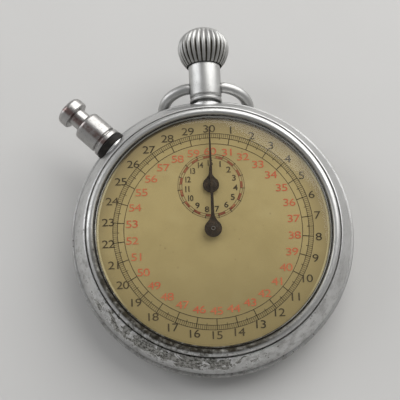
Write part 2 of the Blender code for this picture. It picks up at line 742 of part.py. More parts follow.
def build_stem(axis):
    turn = (-math.pi / 2, 0, 0)
    square_start, square_end = WINDING_PLACE.y - 1.6, WINDING_PLACE.y + 1.6 + CROWN_PRESS
    profile = [
        (0.0, CROWN_WIDEST + 1.1),
        (STEM_RADIUS, CROWN_WIDEST + 1.1),
        (STEM_RADIUS, square_end - 0.1),
        (0.0, square_end - 0.1),
    ]
    stem = turned("winding_stem", profile, "steel", 20, parent=axis, turn=turn)
    shank = block(
        "stem_square",
        (STEM_SQUARE, STEM_SQUARE, square_end - square_start),
        (0, 0, (square_end + square_start) / 2),
        parent=axis,
        turn=turn,
    )
    tip = rod("stem_tip", STEM_TIP_RADIUS, STEM_INNER_END, square_start + 0.2, parent=axis, turn=turn)
    join(stem, shank, tip)
    return stem


def coil(name, radius, wire_radius, start, end, turns, **where):
    steps = turns * 8
    points = []
    for k in range(steps + 1):
        angle = math.tau * turns * k / steps
        points.append((radius * math.cos(angle), radius * math.sin(angle), start + (end - start) * k / steps))
    return wire(name, points, wire_radius, "steel", 1, **where)


def build_winding():
    pinion_axis = axis_at("winding_pinion_axis", (0.0, 0.0), STEM_HEIGHT)
    module = 2 * WINDING_RADIUS / WINDING_TEETH
    outline = gear_outline(WINDING_TEETH, module, math.pi / 2, addendum=0.5, dedendum=1.1)
    level = (WINDING_PLACE.y - 1.1, WINDING_PLACE.y + 1.3)
    hole = square(STEM_SQUARE + 2 * SEAT_GAP)
    pinion = flat("winding_pinion", [outline, hole], (-1.2, 1.2), "steel", parent=pinion_axis)
    pinion.rotation_euler = (-math.pi / 2, 0, 0)
    pinion.location = (0.0, (level[0] + level[1]) / 2, 0.0)
    crown_axis = axis_at("crown_axis", (0.0, 0.0), 0.0, parent=pinion_axis)
    build_crown(crown_axis)
    build_stem(crown_axis)
    pressed_ceiling = CROWN_BOTTOM + CROWN_HOLLOW_DEPTH - CROWN_PRESS
    coil("crown_spring", 1.25, 0.16, PENDANT_SHOULDER + 0.3, pressed_ceiling - 0.3, 4, **along_y())


# ======== side pusher ========


def build_pusher():
    slide = axis_at("pusher_axis", (0.0, 0.0), STEM_HEIGHT, turn=(0, math.pi / 2, PUSHER_ANGLE))
    head_bottom = PUSHER_HEAD_TOP - PUSHER_HEAD_DEPTH
    shoulder = SLEEVE_FLOOR_TOP + 3.1
    profile = [
        (0.0, PUSHER_HEAD_TOP),
        (PUSHER_HEAD_RADIUS - 0.7, PUSHER_HEAD_TOP - 0.05),
        (PUSHER_HEAD_RADIUS - 0.15, PUSHER_HEAD_TOP - 0.35),
        (PUSHER_HEAD_RADIUS, PUSHER_HEAD_TOP - 0.8),
        (PUSHER_HEAD_RADIUS, head_bottom + 0.2),
        (PUSHER_HEAD_RADIUS - 0.2, head_bottom),
        (PUSHER_SHAFT_RADIUS, head_bottom),
        (PUSHER_SHAFT_RADIUS, shoulder),
        (PUSHER_ROD_RADIUS, shoulder),
        (PUSHER_ROD_RADIUS, PUSHER_ROD_END),
        (0.0, PUSHER_ROD_END),
    ]
    turned("pusher_button", profile, "chrome", 24, parent=slide)
    bore = PUSHER_SHAFT_RADIUS + SEAT_GAP
    sleeve = [
        (bore, SLEEVE_TOP),
        (SLEEVE_RADIUS - 0.35, SLEEVE_TOP),
        (SLEEVE_RADIUS, SLEEVE_TOP - 0.3),
        (SLEEVE_RADIUS, SLEEVE_FLANGE + 1.35),
        (SLEEVE_RADIUS - 0.35, SLEEVE_FLANGE + 1.25),
        (SLEEVE_RADIUS - 0.35, SLEEVE_FLANGE + 0.95),
        (SLEEVE_RADIUS + 0.15, SLEEVE_FLANGE + 0.85),
        (SLEEVE_RADIUS + 0.15, SLEEVE_FLANGE),
        (SLEEVE_SPIGOT_RADIUS, SLEEVE_FLANGE),
        (SLEEVE_SPIGOT_RADIUS, SLEEVE_SPIGOT_END),
        (PUSHER_ROD_RADIUS + SEAT_GAP, SLEEVE_SPIGOT_END),
        (PUSHER_ROD_RADIUS + SEAT_GAP, SLEEVE_FLOOR_TOP),
        (bore, SLEEVE_FLOOR_TOP),
        (bore, SLEEVE_TOP),
    ]
    turned("pusher_sleeve", sleeve, "chrome", 24, **along_pusher())
    washer = [
        (SLEEVE_SPIGOT_RADIUS + SEAT_GAP, SLEEVE_FLANGE - SEAT_GAP),
        (WASHER_RADIUS, SLEEVE_FLANGE - SEAT_GAP),
        (WASHER_RADIUS, WASHER_INNER_END),
        (SLEEVE_SPIGOT_RADIUS + SEAT_GAP, WASHER_INNER_END),
        (SLEEVE_SPIGOT_RADIUS + SEAT_GAP, SLEEVE_FLANGE - SEAT_GAP),
    ]
    turned("pusher_washer", washer, "black", 24, **along_pusher())
    pressed_shoulder = shoulder - PUSHER_TRAVEL
    coil("pusher_spring", 1.35, 0.16, SLEEVE_FLOOR_TOP + 0.3, pressed_shoulder - 0.3, 3, **along_pusher())


# ======== plate and bridges ========


def bridge(name, outline, holes, feet, screws):
    """A bridge with its feet standing on the plate, bored for its screws."""
    item = flat(name, [outline, *holes], (BRIDGE_BOTTOM, BRIDGE_TOP), "brass")
    item = as_mesh(item, "brass")
    for index, foot in enumerate(feet):
        pillar = rod(f"{name}_foot_{index}", FOOT_RADIUS, BRIDGE_TOP - 0.2, PLATE_BOTTOM - SEAT_GAP, sides=16)
        pillar.location = (*foot, 0.0)
        join(item, pillar)
    for index, screw in enumerate(screws):
        hole = rod(f"{name}_screw_hole_{index}", 0.6, BRIDGE_BOTTOM - 1.0, PLATE_BOTTOM, sides=16)
        hole.location = (*screw, 0.0)
        cut(item, hole)
    return item


def screw(name, place, head_level=(4.25, 4.7), shank_end=8.0, head_radius=1.05, shank_radius=0.5, slot=True):
    """A slotted screw whose head faces the case back."""
    bottom, top = head_level
    profile = [
        (0.0, shank_end),
        (shank_radius, shank_end),
        (shank_radius, top),
        (head_radius, top),
        (head_radius, bottom),
        (0.0, bottom),
    ]
    item = turned(name, profile, "steel", 12, place=(*place, 0.0))
    if slot:
        size = (2 * head_radius + 1.0, 0.25, 0.4)
        cut(item, block(f"{name}_slot", size, (0, 0, bottom), place=(*place, 0.0), turn=(0, 0, 0.6)))
    return item


def build_plate():
    centre_hole = 0.35 + RUN_GAP
    pivot_hole = 0.25 + RUN_GAP
    holes = [
        circle(centre_hole, 16, CENTRE_PLACE),
        circle(0.3 + RUN_GAP, 16, MINUTE_PLACE),
        circle(0.8 + RUN_GAP, 16, BARREL_PLACE),
        circle(0.6, 16, BALANCE_PLACE),
    ]
    for place in (INTERMEDIATE_PLACE, ESCAPE_PLACE, PALLET_PLACE, HAMMER_PLACE, OPERATING_PLACE):
        holes.append(circle(pivot_hole, 12, place))
    for place in (COLUMN_PLACE, BRAKE_PLACE):
        holes.append(circle(pivot_hole, 12, place))
    for place in CASE_SCREWS:
        holes.append(circle(0.6, 12, place))
    return flat("main_plate", [circle(PLATE_RADIUS, CASE_STEPS), *holes], (PLATE_BOTTOM, PLATE_TOP), "brass")


def build_bridges():
    pinion_half = WINDING_RADIUS + 0.5
    barrel_outline = (
        [(-6.8, 12.0), (-4.0, 6.7), (9.0, 6.7), (14.0, 0.4), (17.5, -0.4), (19.3, 1.6)]
        + arc(21.2, math.radians(12), math.radians(72), 6)
        + [(6.4, 19.6), (pinion_half, 16.4), (-pinion_half, 16.4), (-5.0, 16.2)]
    )
    bridge(
        "barrel_bridge",
        barrel_outline,
        [
            circle(0.3 + RUN_GAP, 16, MINUTE_PLACE),
            circle(1.2 + RUN_GAP, 16, BARREL_PLACE),
            circle(0.9 + SEAT_GAP, 16, CROWN_WHEEL_PLACE),
            circle(0.5 + SEAT_GAP, 12, CLICK_PLACE),
        ],
        BARREL_SCREWS,
        BARREL_SCREWS,
    )
    train_outline = [
        (-9.2, 3.6),
        (-9.2, 0.6),
        (-5.2, -2.2),
        (-6.2, -5.0),
        (-4.0, -6.6),
        (-1.4, -6.8),
        (5.0, -6.6),
        (12.0, -7.4),
        (14.4, -5.4),
        (11.0, -0.8),
        (8.4, 5.9),
        (-5.6, 5.9),
    ]
    bridge(
        "train_bridge",
        train_outline,
        [
            circle(0.35 + RUN_GAP, 16, CENTRE_PLACE),
            circle(0.25 + RUN_GAP, 12, INTERMEDIATE_PLACE),
            circle(0.25 + RUN_GAP, 12, ESCAPE_PLACE),
            circle(0.3 + RUN_GAP, 12, MINUTE_INTERMEDIATE_PLACE),
        ],
        TRAIN_SCREWS,
        TRAIN_SCREWS,
    )
    pallet_outline = round_lever([(*PALLET_PLACE, 1.1), (-5.0, -11.0, 1.3), (*PALLET_SCREW, 1.7)])
    bridge(
        "pallet_bridge",
        pallet_outline,
        [circle(0.25 + RUN_GAP, 12, PALLET_PLACE)],
        [PALLET_SCREW],
        [PALLET_SCREW],
    )
    cock_outline = round_lever([(*BALANCE_PLACE, 1.5), (-12.4, -11.1, 1.9), (*BALANCE_SCREW, 1.6)])
    bridge("balance_cock", cock_outline, [circle(0.7, 16, BALANCE_PLACE)], [BALANCE_SCREW], [BALANCE_SCREW])


def build_screws():
    for index, place in enumerate(BARREL_SCREWS):
        screw(f"barrel_bridge_screw_{index + 1}", place)
    for index, place in enumerate(TRAIN_SCREWS):
        screw(f"train_bridge_screw_{index + 1}", place)
    screw("balance_cock_screw", BALANCE_SCREW)
    for index, place in enumerate(CASE_SCREWS):
        screw(
            f"case_screw_{index + 1}", place, head_level=(6.8, PLATE_BOTTOM - 1.2), shank_end=9.2, head_radius=1.4
        )
    level_bottom = WINDING_LEVEL[0] - SEAT_GAP - 0.5
    screw(
        "crown_wheel_screw", CROWN_WHEEL_PLACE, head_level=(level_bottom, WINDING_LEVEL[0] - SEAT_GAP),
        shank_end=BRIDGE_TOP - 0.1, head_radius=1.5, shank_radius=0.9,
    )


def build_jewel():
    rod("balance_jewel", 0.6, BRIDGE_BOTTOM + 0.15, BRIDGE_TOP - 0.3, "ruby", 16, place=(*BALANCE_PLACE, 0.0))


# ======== power and train ========


def build_barrel():
    axis = axis_at("barrel_axis", BARREL_PLACE)
    wall = BARREL_MODULE * (BARREL_TEETH / 2 - 1.2) - 0.1
    bore = wall - 0.5
    phase = barrel_phase()
    rim = flat(
        "barrel_drum",
        [gear_outline(BARREL_TEETH, BARREL_MODULE, phase), circle(bore + 0.2, 28)],
        (BARREL_TEETH_BOTTOM, BARREL_TOP),
        "brass",
        parent=axis,
    )
    rim = as_mesh(rim, "brass")
    cup = [
        (bore, BARREL_TOP - 0.05),
        (wall - 0.1, BARREL_TOP - 0.05),
        (wall - 0.1, BARREL_BOTTOM),
        (0.8 + SEAT_GAP, BARREL_BOTTOM),
        (0.8 + SEAT_GAP, BARREL_BOTTOM + 0.2),
        (bore, BARREL_BOTTOM + 0.2),
        (bore, BARREL_TOP - 0.05),
    ]
    join(rim, turned("barrel_cup", cup, "brass", 28, parent=axis))
    cover_level = (BARREL_TOP - 0.25, BARREL_TOP - 0.05)
    flat(
        "barrel_cover", [circle(bore - SEAT_GAP, 28), circle(0.8 + SEAT_GAP, 16)], cover_level, "brass", parent=axis
    )
    turns, steps = 4, 15
    start, end, half = 2.0, bore - 0.5, 0.12
    inside, outside = [], []
    for k in range(turns * steps + 1):
        angle = math.tau * k / steps
        radius = start + (end - start) * k / (turns * steps)
        inside.append(tuple(polar(radius - half, angle)))
        outside.append(tuple(polar(radius + half, angle)))
    spring_level = (BARREL_BOTTOM + 0.3, BARREL_TOP - 0.35)
    flat("mainspring", [inside + outside[::-1]], spring_level, "blued", parent=axis)


def barrel_phase():
    pinion = intermediate_pinion_phase()
    angle = bearing(INTERMEDIATE_PLACE, BARREL_PLACE)
    return meshing_phase(pinion, INTERMEDIATE_PINION_TEETH, BARREL_TEETH, angle)


def intermediate_pinion_phase():
    """The intermediate wheel and its pinion are cut with a tooth of each on one line."""
    return intermediate_wheel_phase()


def intermediate_wheel_phase():
    angle = bearing(CENTRE_PLACE, INTERMEDIATE_PLACE)
    return meshing_phase(0.0, CENTRE_PINION_TEETH, INTERMEDIATE_TEETH, angle)


def pinion(name, teeth, module, level, phase, parent):
    item = flat(name, [gear_outline(teeth, module, phase)], level, "steel", parent=parent)
    return as_mesh(item, "steel")


def wheel(name, teeth, module, level, phase, bore, parent, arms=4, addendum=0.9):
    """A crossed-out wheel with a bore for its arbor."""
    rim = module * (teeth / 2 - 1.2) - 0.55
    outlines = [gear_outline(teeth, module, phase, addendum), circle(bore, 12)]
    if arms:
        outlines += crossings(1.1, rim, arms)
    return flat(name, outlines, level, "brass", parent=parent)


def build_intermediate():
    axis = axis_at("intermediate_axis", INTERMEDIATE_PLACE)
    phase = intermediate_wheel_phase()
    gear = wheel(
        "intermediate_wheel", INTERMEDIATE_TEETH, INTERMEDIATE_MODULE, INTERMEDIATE_WHEEL_LEVEL, phase, 0.3, axis
    )
    gear = as_mesh(gear, "brass")
    pinion_level = (BARREL_TEETH_BOTTOM - 0.1, INTERMEDIATE_WHEEL_LEVEL[0] + 0.1)
    leaves = pinion(
        "intermediate_leaves", INTERMEDIATE_PINION_TEETH, BARREL_MODULE, pinion_level,
        intermediate_pinion_phase(), axis,
    )
    arbor = rod("intermediate_arbor", 0.25, BRIDGE_BOTTOM + 0.2, PLATE_TOP - 0.2, sides=12, parent=axis)
    hub = rod("intermediate_hub", 0.6, BRIDGE_TOP + 0.2, PLATE_BOTTOM - 0.2, sides=12, parent=axis)
    join(gear, leaves, hub, arbor)


def build_centre():
    axis = axis_at("seconds_axis", CENTRE_PLACE)
    hub = SECONDS_HAND_LIFT + DIAL_TOP
    arbor = rod("centre_arbor", 0.35, ARBOR_BACK_END, hub + HAND_THICKNESS + 0.15, sides=16, parent=axis)
    driver = pinion(
        "minute_driver", MINUTE_DRIVER_TEETH, MINUTE_DRIVER_MODULE, MINUTE_DRIVER_LEVEL, 0.0, axis
    )
    leaves_level = (INTERMEDIATE_WHEEL_LEVEL[0] - 0.15, INTERMEDIATE_WHEEL_LEVEL[1] + 0.15)
    leaves = pinion("centre_leaves", CENTRE_PINION_TEETH, INTERMEDIATE_MODULE, leaves_level, 0.0, axis)
    join(arbor, driver, leaves)
    wheel("centre_wheel", CENTRE_TEETH, CENTRE_MODULE, CENTRE_WHEEL_LEVEL, 0.0, 0.4, axis, arms=4)
    heart("seconds_heart", axis, 0.4)
    hand_level = (hub, hub + HAND_THICKNESS)
    hand("seconds_hand", SECONDS_HUB_RADIUS, 0.62, SECONDS_HAND_REACH, hand_level, axis, 0.4)


def heart(name, axis, bore):
    """The heart cam: two mirrored spirals whose dip faces the hammer when the hand stands at zero."""
    low = 0.75
    points = []
    steps = 14
    for k in range(-steps, steps):
        share = abs(k) / steps
        radius = low + (HEART_RADIUS - low) * share
        points.append(tuple(polar(radius, math.pi / 2 + math.pi * k / steps)))
    return flat(name, [points, circle(bore, 12)], HEART_LEVEL, "steel", parent=axis)


def hand(name, hub_radius, shoulder_half, reach, level, axis, bore):
    """A hand that leaves its round hub in a drop shape and tapers to a fine point."""
    neck = 1.9 * hub_radius
    tip_half = 0.09
    side = [(shoulder_half * 1.55, 1.25 * hub_radius), (shoulder_half, neck), (tip_half * 1.4, 0.7 * reach)]
    side.append((tip_half, reach - 0.2))
    start = math.asin(min(1.0, 1.1 * shoulder_half * 1.55 / hub_radius)) if hub_radius > 1.2 else 0.6
    hub = arc(hub_radius, math.pi / 2 + start, 5 * math.pi / 2 - start, 18)
    outline = hub + side + [(0.0, reach)] + [(-x, y) for x, y in reversed(side)]
    return flat(name, [outline, circle(bore, 12)], level, "blued", parent=axis)


def build_escapement():
    axis = axis_at("escape_axis", ESCAPE_PLACE)
    outline = []
    pitch = math.tau / ESCAPE_TEETH
    for k in range(ESCAPE_TEETH):
        outline.append(tuple(polar(ESCAPE_RADIUS - 0.75, (k - 0.45) * pitch)))
        outline.append(tuple(polar(ESCAPE_RADIUS, k * pitch)))
        outline.append(tuple(polar(ESCAPE_RADIUS - 0.05, (k + 0.12) * pitch)))
        outline.append(tuple(polar(ESCAPE_RADIUS - 0.75, (k + 0.2) * pitch)))
    gear = as_mesh(flat("escape_wheel", [outline], ESCAPE_LEVEL, "steel", parent=axis), "steel")
    phase = meshing_phase(0.0, CENTRE_TEETH, ESCAPE_PINION_TEETH, ESCAPE_BEARING)
    leaves_level = (CENTRE_WHEEL_LEVEL[0] - 0.1, CENTRE_WHEEL_LEVEL[1] + 0.6)
    leaves = pinion("escape_leaves", ESCAPE_PINION_TEETH, CENTRE_MODULE, leaves_level, phase, axis)
    arbor = rod("escape_arbor", 0.25, BRIDGE_BOTTOM + 0.2, PLATE_TOP - 0.2, sides=12, parent=axis)
    join(gear, leaves, arbor)

    fork_axis = axis_at("pallet_axis", PALLET_PLACE)
    toward = PALLET_BEARING + math.pi
    escape = polar(ESCAPE_TO_PALLET, toward)
    outline = []
    for sign in (1, -1):
        stone = escape - polar(ESCAPE_RADIUS + 0.42, toward - sign * math.radians(34))
        outline.append((*stone, 0.22))
    fork_tip = polar(PALLET_TO_BALANCE - 1.3, PALLET_BEARING)
    arms = round_lever([outline[0], (0.0, 0.0, 0.42), outline[1]])
    fork = as_mesh(flat("pallet_fork", [arms], ESCAPE_LEVEL, "steel", parent=fork_axis), "steel")
    tail = flat(
        "fork_tail", [round_lever([(0.0, 0.0, 0.4), (*fork_tip, 0.3)])],
        (ESCAPE_LEVEL[0] + 0.02, ESCAPE_LEVEL[1] - 0.02), "steel", parent=fork_axis,
    )
    staff = rod("fork_arbor", 0.25, BRIDGE_BOTTOM + 0.2, PLATE_TOP - 0.2, sides=12, parent=fork_axis)
    join(fork, as_mesh(tail, "steel"), staff)


def build_balance():
    axis = axis_at("balance_axis", BALANCE_PLACE)
    rim_inner = BALANCE_RADIUS - 0.7
    outlines = [circle(BALANCE_RADIUS, 32), circle(0.5, 16), *crossings(1.1, rim_inner, 3, 0.16, 6)]
    flat("balance_wheel", outlines, BALANCE_LEVEL, "brass", parent=axis)
    roller_top = ROLLER_LEVEL[1]
    profile = [
        (0.0, PLATE_BOTTOM + 0.1),
        (0.2, PLATE_BOTTOM + 0.1),
        (0.2, PLATE_BOTTOM - 0.15),
        (0.45, PLATE_BOTTOM - 0.2),
        (0.45, roller_top),
        (1.15, roller_top),
        (1.15, ROLLER_LEVEL[0]),
        (0.44, ROLLER_LEVEL[0]),
        (0.44, BRIDGE_TOP + 0.1),
        (0.2, BRIDGE_TOP),
        (0.2, BRIDGE_TOP - 0.2),
        (0.0, BRIDGE_TOP - 0.2),
    ]
    staff = turned("balance_staff", profile, "steel", 16, parent=axis)
    pin_place = polar(0.85, PALLET_BEARING + math.pi)
    pin = rod("impulse_pin", 0.16, ESCAPE_LEVEL[1] + 0.1, ROLLER_LEVEL[0] + 0.1, sides=8, parent=axis)
    pin.location = (*pin_place, 0.0)
    join(staff, pin)
    turns, steps = 4, 12
    points = []
    for k in range(turns * steps + 1):
        radius = 0.75 + 2.1 * k / (turns * steps)
        points.append((*polar(radius, math.tau * k / steps), sum(HAIRSPRING_LEVEL) / 2))
    wire("hairspring", points, 0.05, "blued", 0, parent=axis)
    index = axis_at("regulator_axis", BALANCE_PLACE)
    arm_end = polar(4.6, PALLET_BEARING + 2.2)
    outline = round_lever([(0.0, 0.0, 1.25), (*(arm_end * 0.4), 0.5), (*arm_end, 0.3)])
    level = (BRIDGE_BOTTOM - 0.35, BRIDGE_BOTTOM - SEAT_GAP)
    flat("regulator", [outline, circle(0.75, 16)], level, "steel", parent=index)


def build_minute_works():
    driver_angle = bearing(CENTRE_PLACE, MINUTE_INTERMEDIATE_PLACE)
    phase = meshing_phase(0.0, MINUTE_DRIVER_TEETH, MINUTE_INTERMEDIATE_TEETH, driver_angle)
    axis = axis_at("minute_intermediate_axis", MINUTE_INTERMEDIATE_PLACE)
    gear = wheel(
        "minute_intermediate_wheel", MINUTE_INTERMEDIATE_TEETH, MINUTE_DRIVER_MODULE,
        MINUTE_INTERMEDIATE_LEVEL, phase, 0.3, axis, arms=0,
    )
    gear = as_mesh(gear, "brass")
    leaves_level = (MINUTE_WHEEL_LEVEL[0] - 0.1, MINUTE_INTERMEDIATE_LEVEL[0] + 0.05)
    leaves = pinion("minute_leaves", MINUTE_PINION_TEETH, MINUTE_MODULE, leaves_level, phase, axis)
    arbor = rod("minute_intermediate_arbor", 0.3, leaves_level[0] - 0.1, BRIDGE_TOP, sides=12, parent=axis)
    join(gear, leaves, arbor)

    angle = bearing(MINUTE_INTERMEDIATE_PLACE, MINUTE_PLACE)
    wheel_phase = meshing_phase(phase, MINUTE_PINION_TEETH, MINUTE_WHEEL_TEETH, angle)
    minutes = axis_at("minutes_axis", MINUTE_PLACE)
    hand_bottom = DIAL_TOP + MINUTE_HAND_LIFT
    hand_level = (hand_bottom, hand_bottom + HAND_THICKNESS)
    rod("minute_arbor", 0.3, ARBOR_BACK_END, hand_level[1] + 0.1, sides=16, parent=minutes)
    wheel(
        "minute_wheel", MINUTE_WHEEL_TEETH, MINUTE_MODULE, MINUTE_WHEEL_LEVEL, wheel_phase, 0.35, minutes, arms=4
    )
    heart("minute_heart", minutes, 0.35)
    hand("minute_hand", MINUTE_HUB_RADIUS, 0.42, MINUTE_HAND_REACH, hand_level, minutes, 0.35)


# ======== winding works on the bridge ========


def build_ratchet():
    axis = axis_at("barrel_arbor_axis", BARREL_PLACE)
    crown_axis = axis_at("crown_wheel_axis", CROWN_WHEEL_PLACE)
    face_pitch = math.tau / CROWN_WHEEL_TEETH
    crown_phase = math.pi / 2 + face_pitch / 2
    outline = gear_outline(CROWN_WHEEL_TEETH, RATCHET_MODULE, crown_phase, tooth=POINTED_TOOTH)
    disc = flat("crown_wheel", [outline, circle(0.9 + SEAT_GAP, 16)], WINDING_LEVEL, "steel", parent=crown_axis)
    disc = as_mesh(disc, "steel")
    teeth = []
    for k in range(CROWN_WHEEL_TEETH):
        middle = crown_phase + k * face_pitch
        ahead = polar(1.0, middle)
        across = Vector((-ahead.y, ahead.x)) * 0.16
        near, far = ahead * (CROWN_FACE_RADIUS - 0.55), ahead * (CROWN_FACE_RADIUS - 0.05)
        teeth.append([tuple(near - across), tuple(far - across), tuple(far + across), tuple(near + across)])
    face_top = STEM_HEIGHT - WINDING_RADIUS + 0.12
    bars = flat("crown_wheel_face_teeth", teeth, (WINDING_LEVEL[1] - 0.2, face_top), "steel", parent=crown_axis)
    join(disc, as_mesh(bars, "steel"))
    angle = bearing(CROWN_WHEEL_PLACE, BARREL_PLACE)
    phase = meshing_phase(crown_phase, CROWN_WHEEL_TEETH, RATCHET_TEETH, angle)
    flat(
        "ratchet_wheel",
        [
            gear_outline(RATCHET_TEETH, RATCHET_MODULE, phase, tooth=POINTED_TOOTH),
            square(1.6 + 2 * SEAT_GAP),
        ],
        WINDING_LEVEL,
        "steel",
        parent=axis,
    )
    profile = [
        (0.0, PLATE_TOP - 0.2),
        (0.8, PLATE_TOP - 0.2),
        (0.8, BARREL_TOP - 0.3),
        (1.4, BARREL_TOP - 0.35),
        (1.4, BARREL_BOTTOM + 0.3),
        (0.8, BARREL_BOTTOM + 0.25),
        (0.8, BRIDGE_TOP + 0.2),
        (1.2, BRIDGE_TOP + 0.1),
        (1.2, WINDING_LEVEL[1] + SEAT_GAP),
        (0.0, WINDING_LEVEL[1] + SEAT_GAP),
    ]
    arbor = turned("barrel_arbor", profile, "steel", 20, parent=axis)
    tenon_bottom = WINDING_LEVEL[0] + 0.05
    tenon_top = WINDING_LEVEL[1] + 0.3
    tenon = block(
        "arbor_square", (1.6, 1.6, tenon_top - tenon_bottom), (0, 0, (tenon_top + tenon_bottom) / 2), parent=axis
    )
    join(arbor, tenon)
    head_top = WINDING_LEVEL[0] - SEAT_GAP
    rod("ratchet_screw", 1.6, head_top - 0.4, head_top, sides=20, parent=axis)


def build_click():
    screw(
        "click_screw", CLICK_PLACE, head_level=(WINDING_LEVEL[0] - 0.5, WINDING_LEVEL[0] - SEAT_GAP),
        shank_end=BRIDGE_TOP - 0.1, head_radius=0.9,
    )
    axis = axis_at("click_axis", CLICK_PLACE)
    tip_radius = RATCHET_MODULE * (RATCHET_TEETH / 2 + 0.9) + 0.22
    tip = BARREL_PLACE + polar(tip_radius + 0.25, math.radians(-62)) - CLICK_PLACE
    outline = round_lever([(0.0, 0.0, 1.1), (tip.x * 0.5, tip.y * 0.5 - 0.25, 0.6), (*tip, 0.25)])
    flat("click", [outline, circle(0.5 + SEAT_GAP, 12)], WINDING_LEVEL, "steel", parent=axis)
    pull = [
        (*(CLICK_PLACE + Vector((1.9, -3.6))), 3.8),
        (*(CLICK_PLACE + Vector((0.4, -3.9))), 3.8),
        (*(CLICK_PLACE + Vector((-1.4, -3.4))), 3.8),
        (*(CLICK_PLACE + Vector((-2.6, -2.5))), 3.8),
    ]
    wire("click_spring", pull, 0.14, "blued", 1)


# ======== levers ========


def build_hammer():
    axis = axis_at("hammer_axis", HAMMER_PLACE)
    lift = HEART_RADIUS + 2.2
    to_centre = CENTRE_PLACE + Vector((-0.2, lift)) - HAMMER_PLACE
    to_minute = MINUTE_PLACE + Vector((-0.2, lift)) - HAMMER_PLACE
    knee = Vector((to_minute.x * 0.48, to_minute.y))
    push = polar(PUSHER_ROD_END - 0.9, PUSHER_ANGLE) - HAMMER_PLACE
    level = HEART_LEVEL
    arm = flat(
        "hammer", [round_lever([(0.0, 0.0, 1.0), (to_centre.x * 0.5, to_centre.y * 0.75, 0.6), (*to_centre, 0.5)])],
        level, "steel", parent=axis,
    )
    arm = as_mesh(arm, "steel")
    inner = (level[0] + 0.02, level[1] - 0.02)
    knots = [(0.0, 0.0, 0.9), (*knee, 0.6), (*to_minute, 0.5)]
    second = flat("hammer_minute_arm", [round_lever(knots)], inner, "steel", parent=axis)
    tail = flat(
        "hammer_tail", [round_lever([(0.0, 0.0, 0.85), (*push, 0.6)])], (level[0] + 0.04, level[1] - 0.04),
        "steel", parent=axis,
    )
    post = rod("hammer_post", 0.6, level[1] - 0.2, PUSHER_POST_TOP, sides=12, parent=axis)
    post.location = (*push, 0.0)
    pivot = rod("hammer_pivot", 0.25, level[0] + 0.1, PLATE_TOP - 0.2, sides=12, parent=axis)
    join(arm, as_mesh(second, "steel"), as_mesh(tail, "steel"), post, pivot)
    anchor = HAMMER_PLACE + Vector((-4.6, -2.2))
    blade = [
        (*anchor, 2.9),
        (*(anchor + Vector((-0.6, 2.6))), 2.9),
        (*(anchor + Vector((-0.1, 5.2))), 2.9),
        (*(anchor + Vector((0.9, 7.4))), 2.9),
    ]
    wire("hammer_spring", blade, 0.15, "blued", 1)


def build_start_levers():
    axis = axis_at("operating_axis", OPERATING_PLACE)
    nose = Vector((0.1, STEM_INNER_END - 0.75)) - OPERATING_PLACE
    hook = COLUMN_PLACE + Vector((1.6, 2.8)) - OPERATING_PLACE
    outline = round_lever([(*hook, 0.3), (hook.x * 0.55, hook.y * 0.5, 0.7), (0.0, 0.0, 0.9), (*nose, 0.6)])
    lever = as_mesh(flat("operating_lever", [outline], LEVER_LEVEL, "steel", parent=axis), "steel")
    join(lever, rod("operating_pivot", 0.25, LEVER_LEVEL[0] + 0.1, PLATE_TOP - 0.2, sides=12, parent=axis))

    column_axis = axis_at("column_axis", COLUMN_PLACE)
    teeth = []
    for k in range(12):
        teeth.append(tuple(polar(2.1, math.tau * k / 12)))
        teeth.append(tuple(polar(1.6, math.tau * (k + 0.25) / 12)))
    base = as_mesh(flat("column_wheel", [teeth], (6.0, 6.5), "steel", parent=column_axis), "steel")
    columns = []
    for k in range(6):
        middle = math.tau * k / 6
        columns.append(arc(1.55, middle - 0.26, middle + 0.26, 3) + arc(0.9, middle + 0.3, middle - 0.3, 2))
    posts = flat("column_posts", columns, (6.3, 7.9), "steel", parent=column_axis)
    stem = rod("column_pivot", 0.25, 6.2, PLATE_TOP - 0.2, sides=12, parent=column_axis)
    join(base, as_mesh(posts, "steel"), stem)

    brake_axis = axis_at("brake_axis", BRAKE_PLACE)
    pad = BALANCE_PLACE + polar(BALANCE_RADIUS + 0.65, math.radians(160.0)) - BRAKE_PLACE
    nose = COLUMN_PLACE + Vector((-1.9, -1.8)) - BRAKE_PLACE
    outline = round_lever([(*pad, 0.35), (0.0, 0.0, 0.8), (*nose, 0.3)])
    lever = as_mesh(flat("brake_lever", [outline], (6.7, 7.1), "steel", parent=brake_axis), "steel")
    foot = rod("brake_pad", 0.3, BALANCE_LEVEL[0], 6.9, sides=12, parent=brake_axis)
    foot.location = (*pad, 0.0)
    pivot = rod("brake_pivot", 0.25, 6.8, PLATE_TOP - 0.2, sides=12, parent=brake_axis)
    join(lever, foot, pivot)


make_materials()
build_case_back()
build_case_middle()
build_bezel()
build_crystal()
build_dial()
build_pendant()
build_bow()
build_winding()
build_pusher()
build_plate()
build_bridges()
build_screws()
build_jewel()
build_barrel()
build_intermediate()
build_centre()
build_escapement()
build_balance()
build_minute_works()
build_ratchet()
build_click()
build_hammer()
build_start_levers()
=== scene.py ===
"""Looks of the mechanical stopwatch: worn chromium case, domed glass, printed dial, blackened hands, fluted crown.

Sizes are in millimetres in the watch's own frame, whose origin is the middle of the case back's flat, with the dial
facing +Z and twelve o'clock at +Y. WATCH carries that frame into the leaning pose in metres.
"""

import json
import math

import bmesh
import bpy
from mathutils import Matrix, Vector


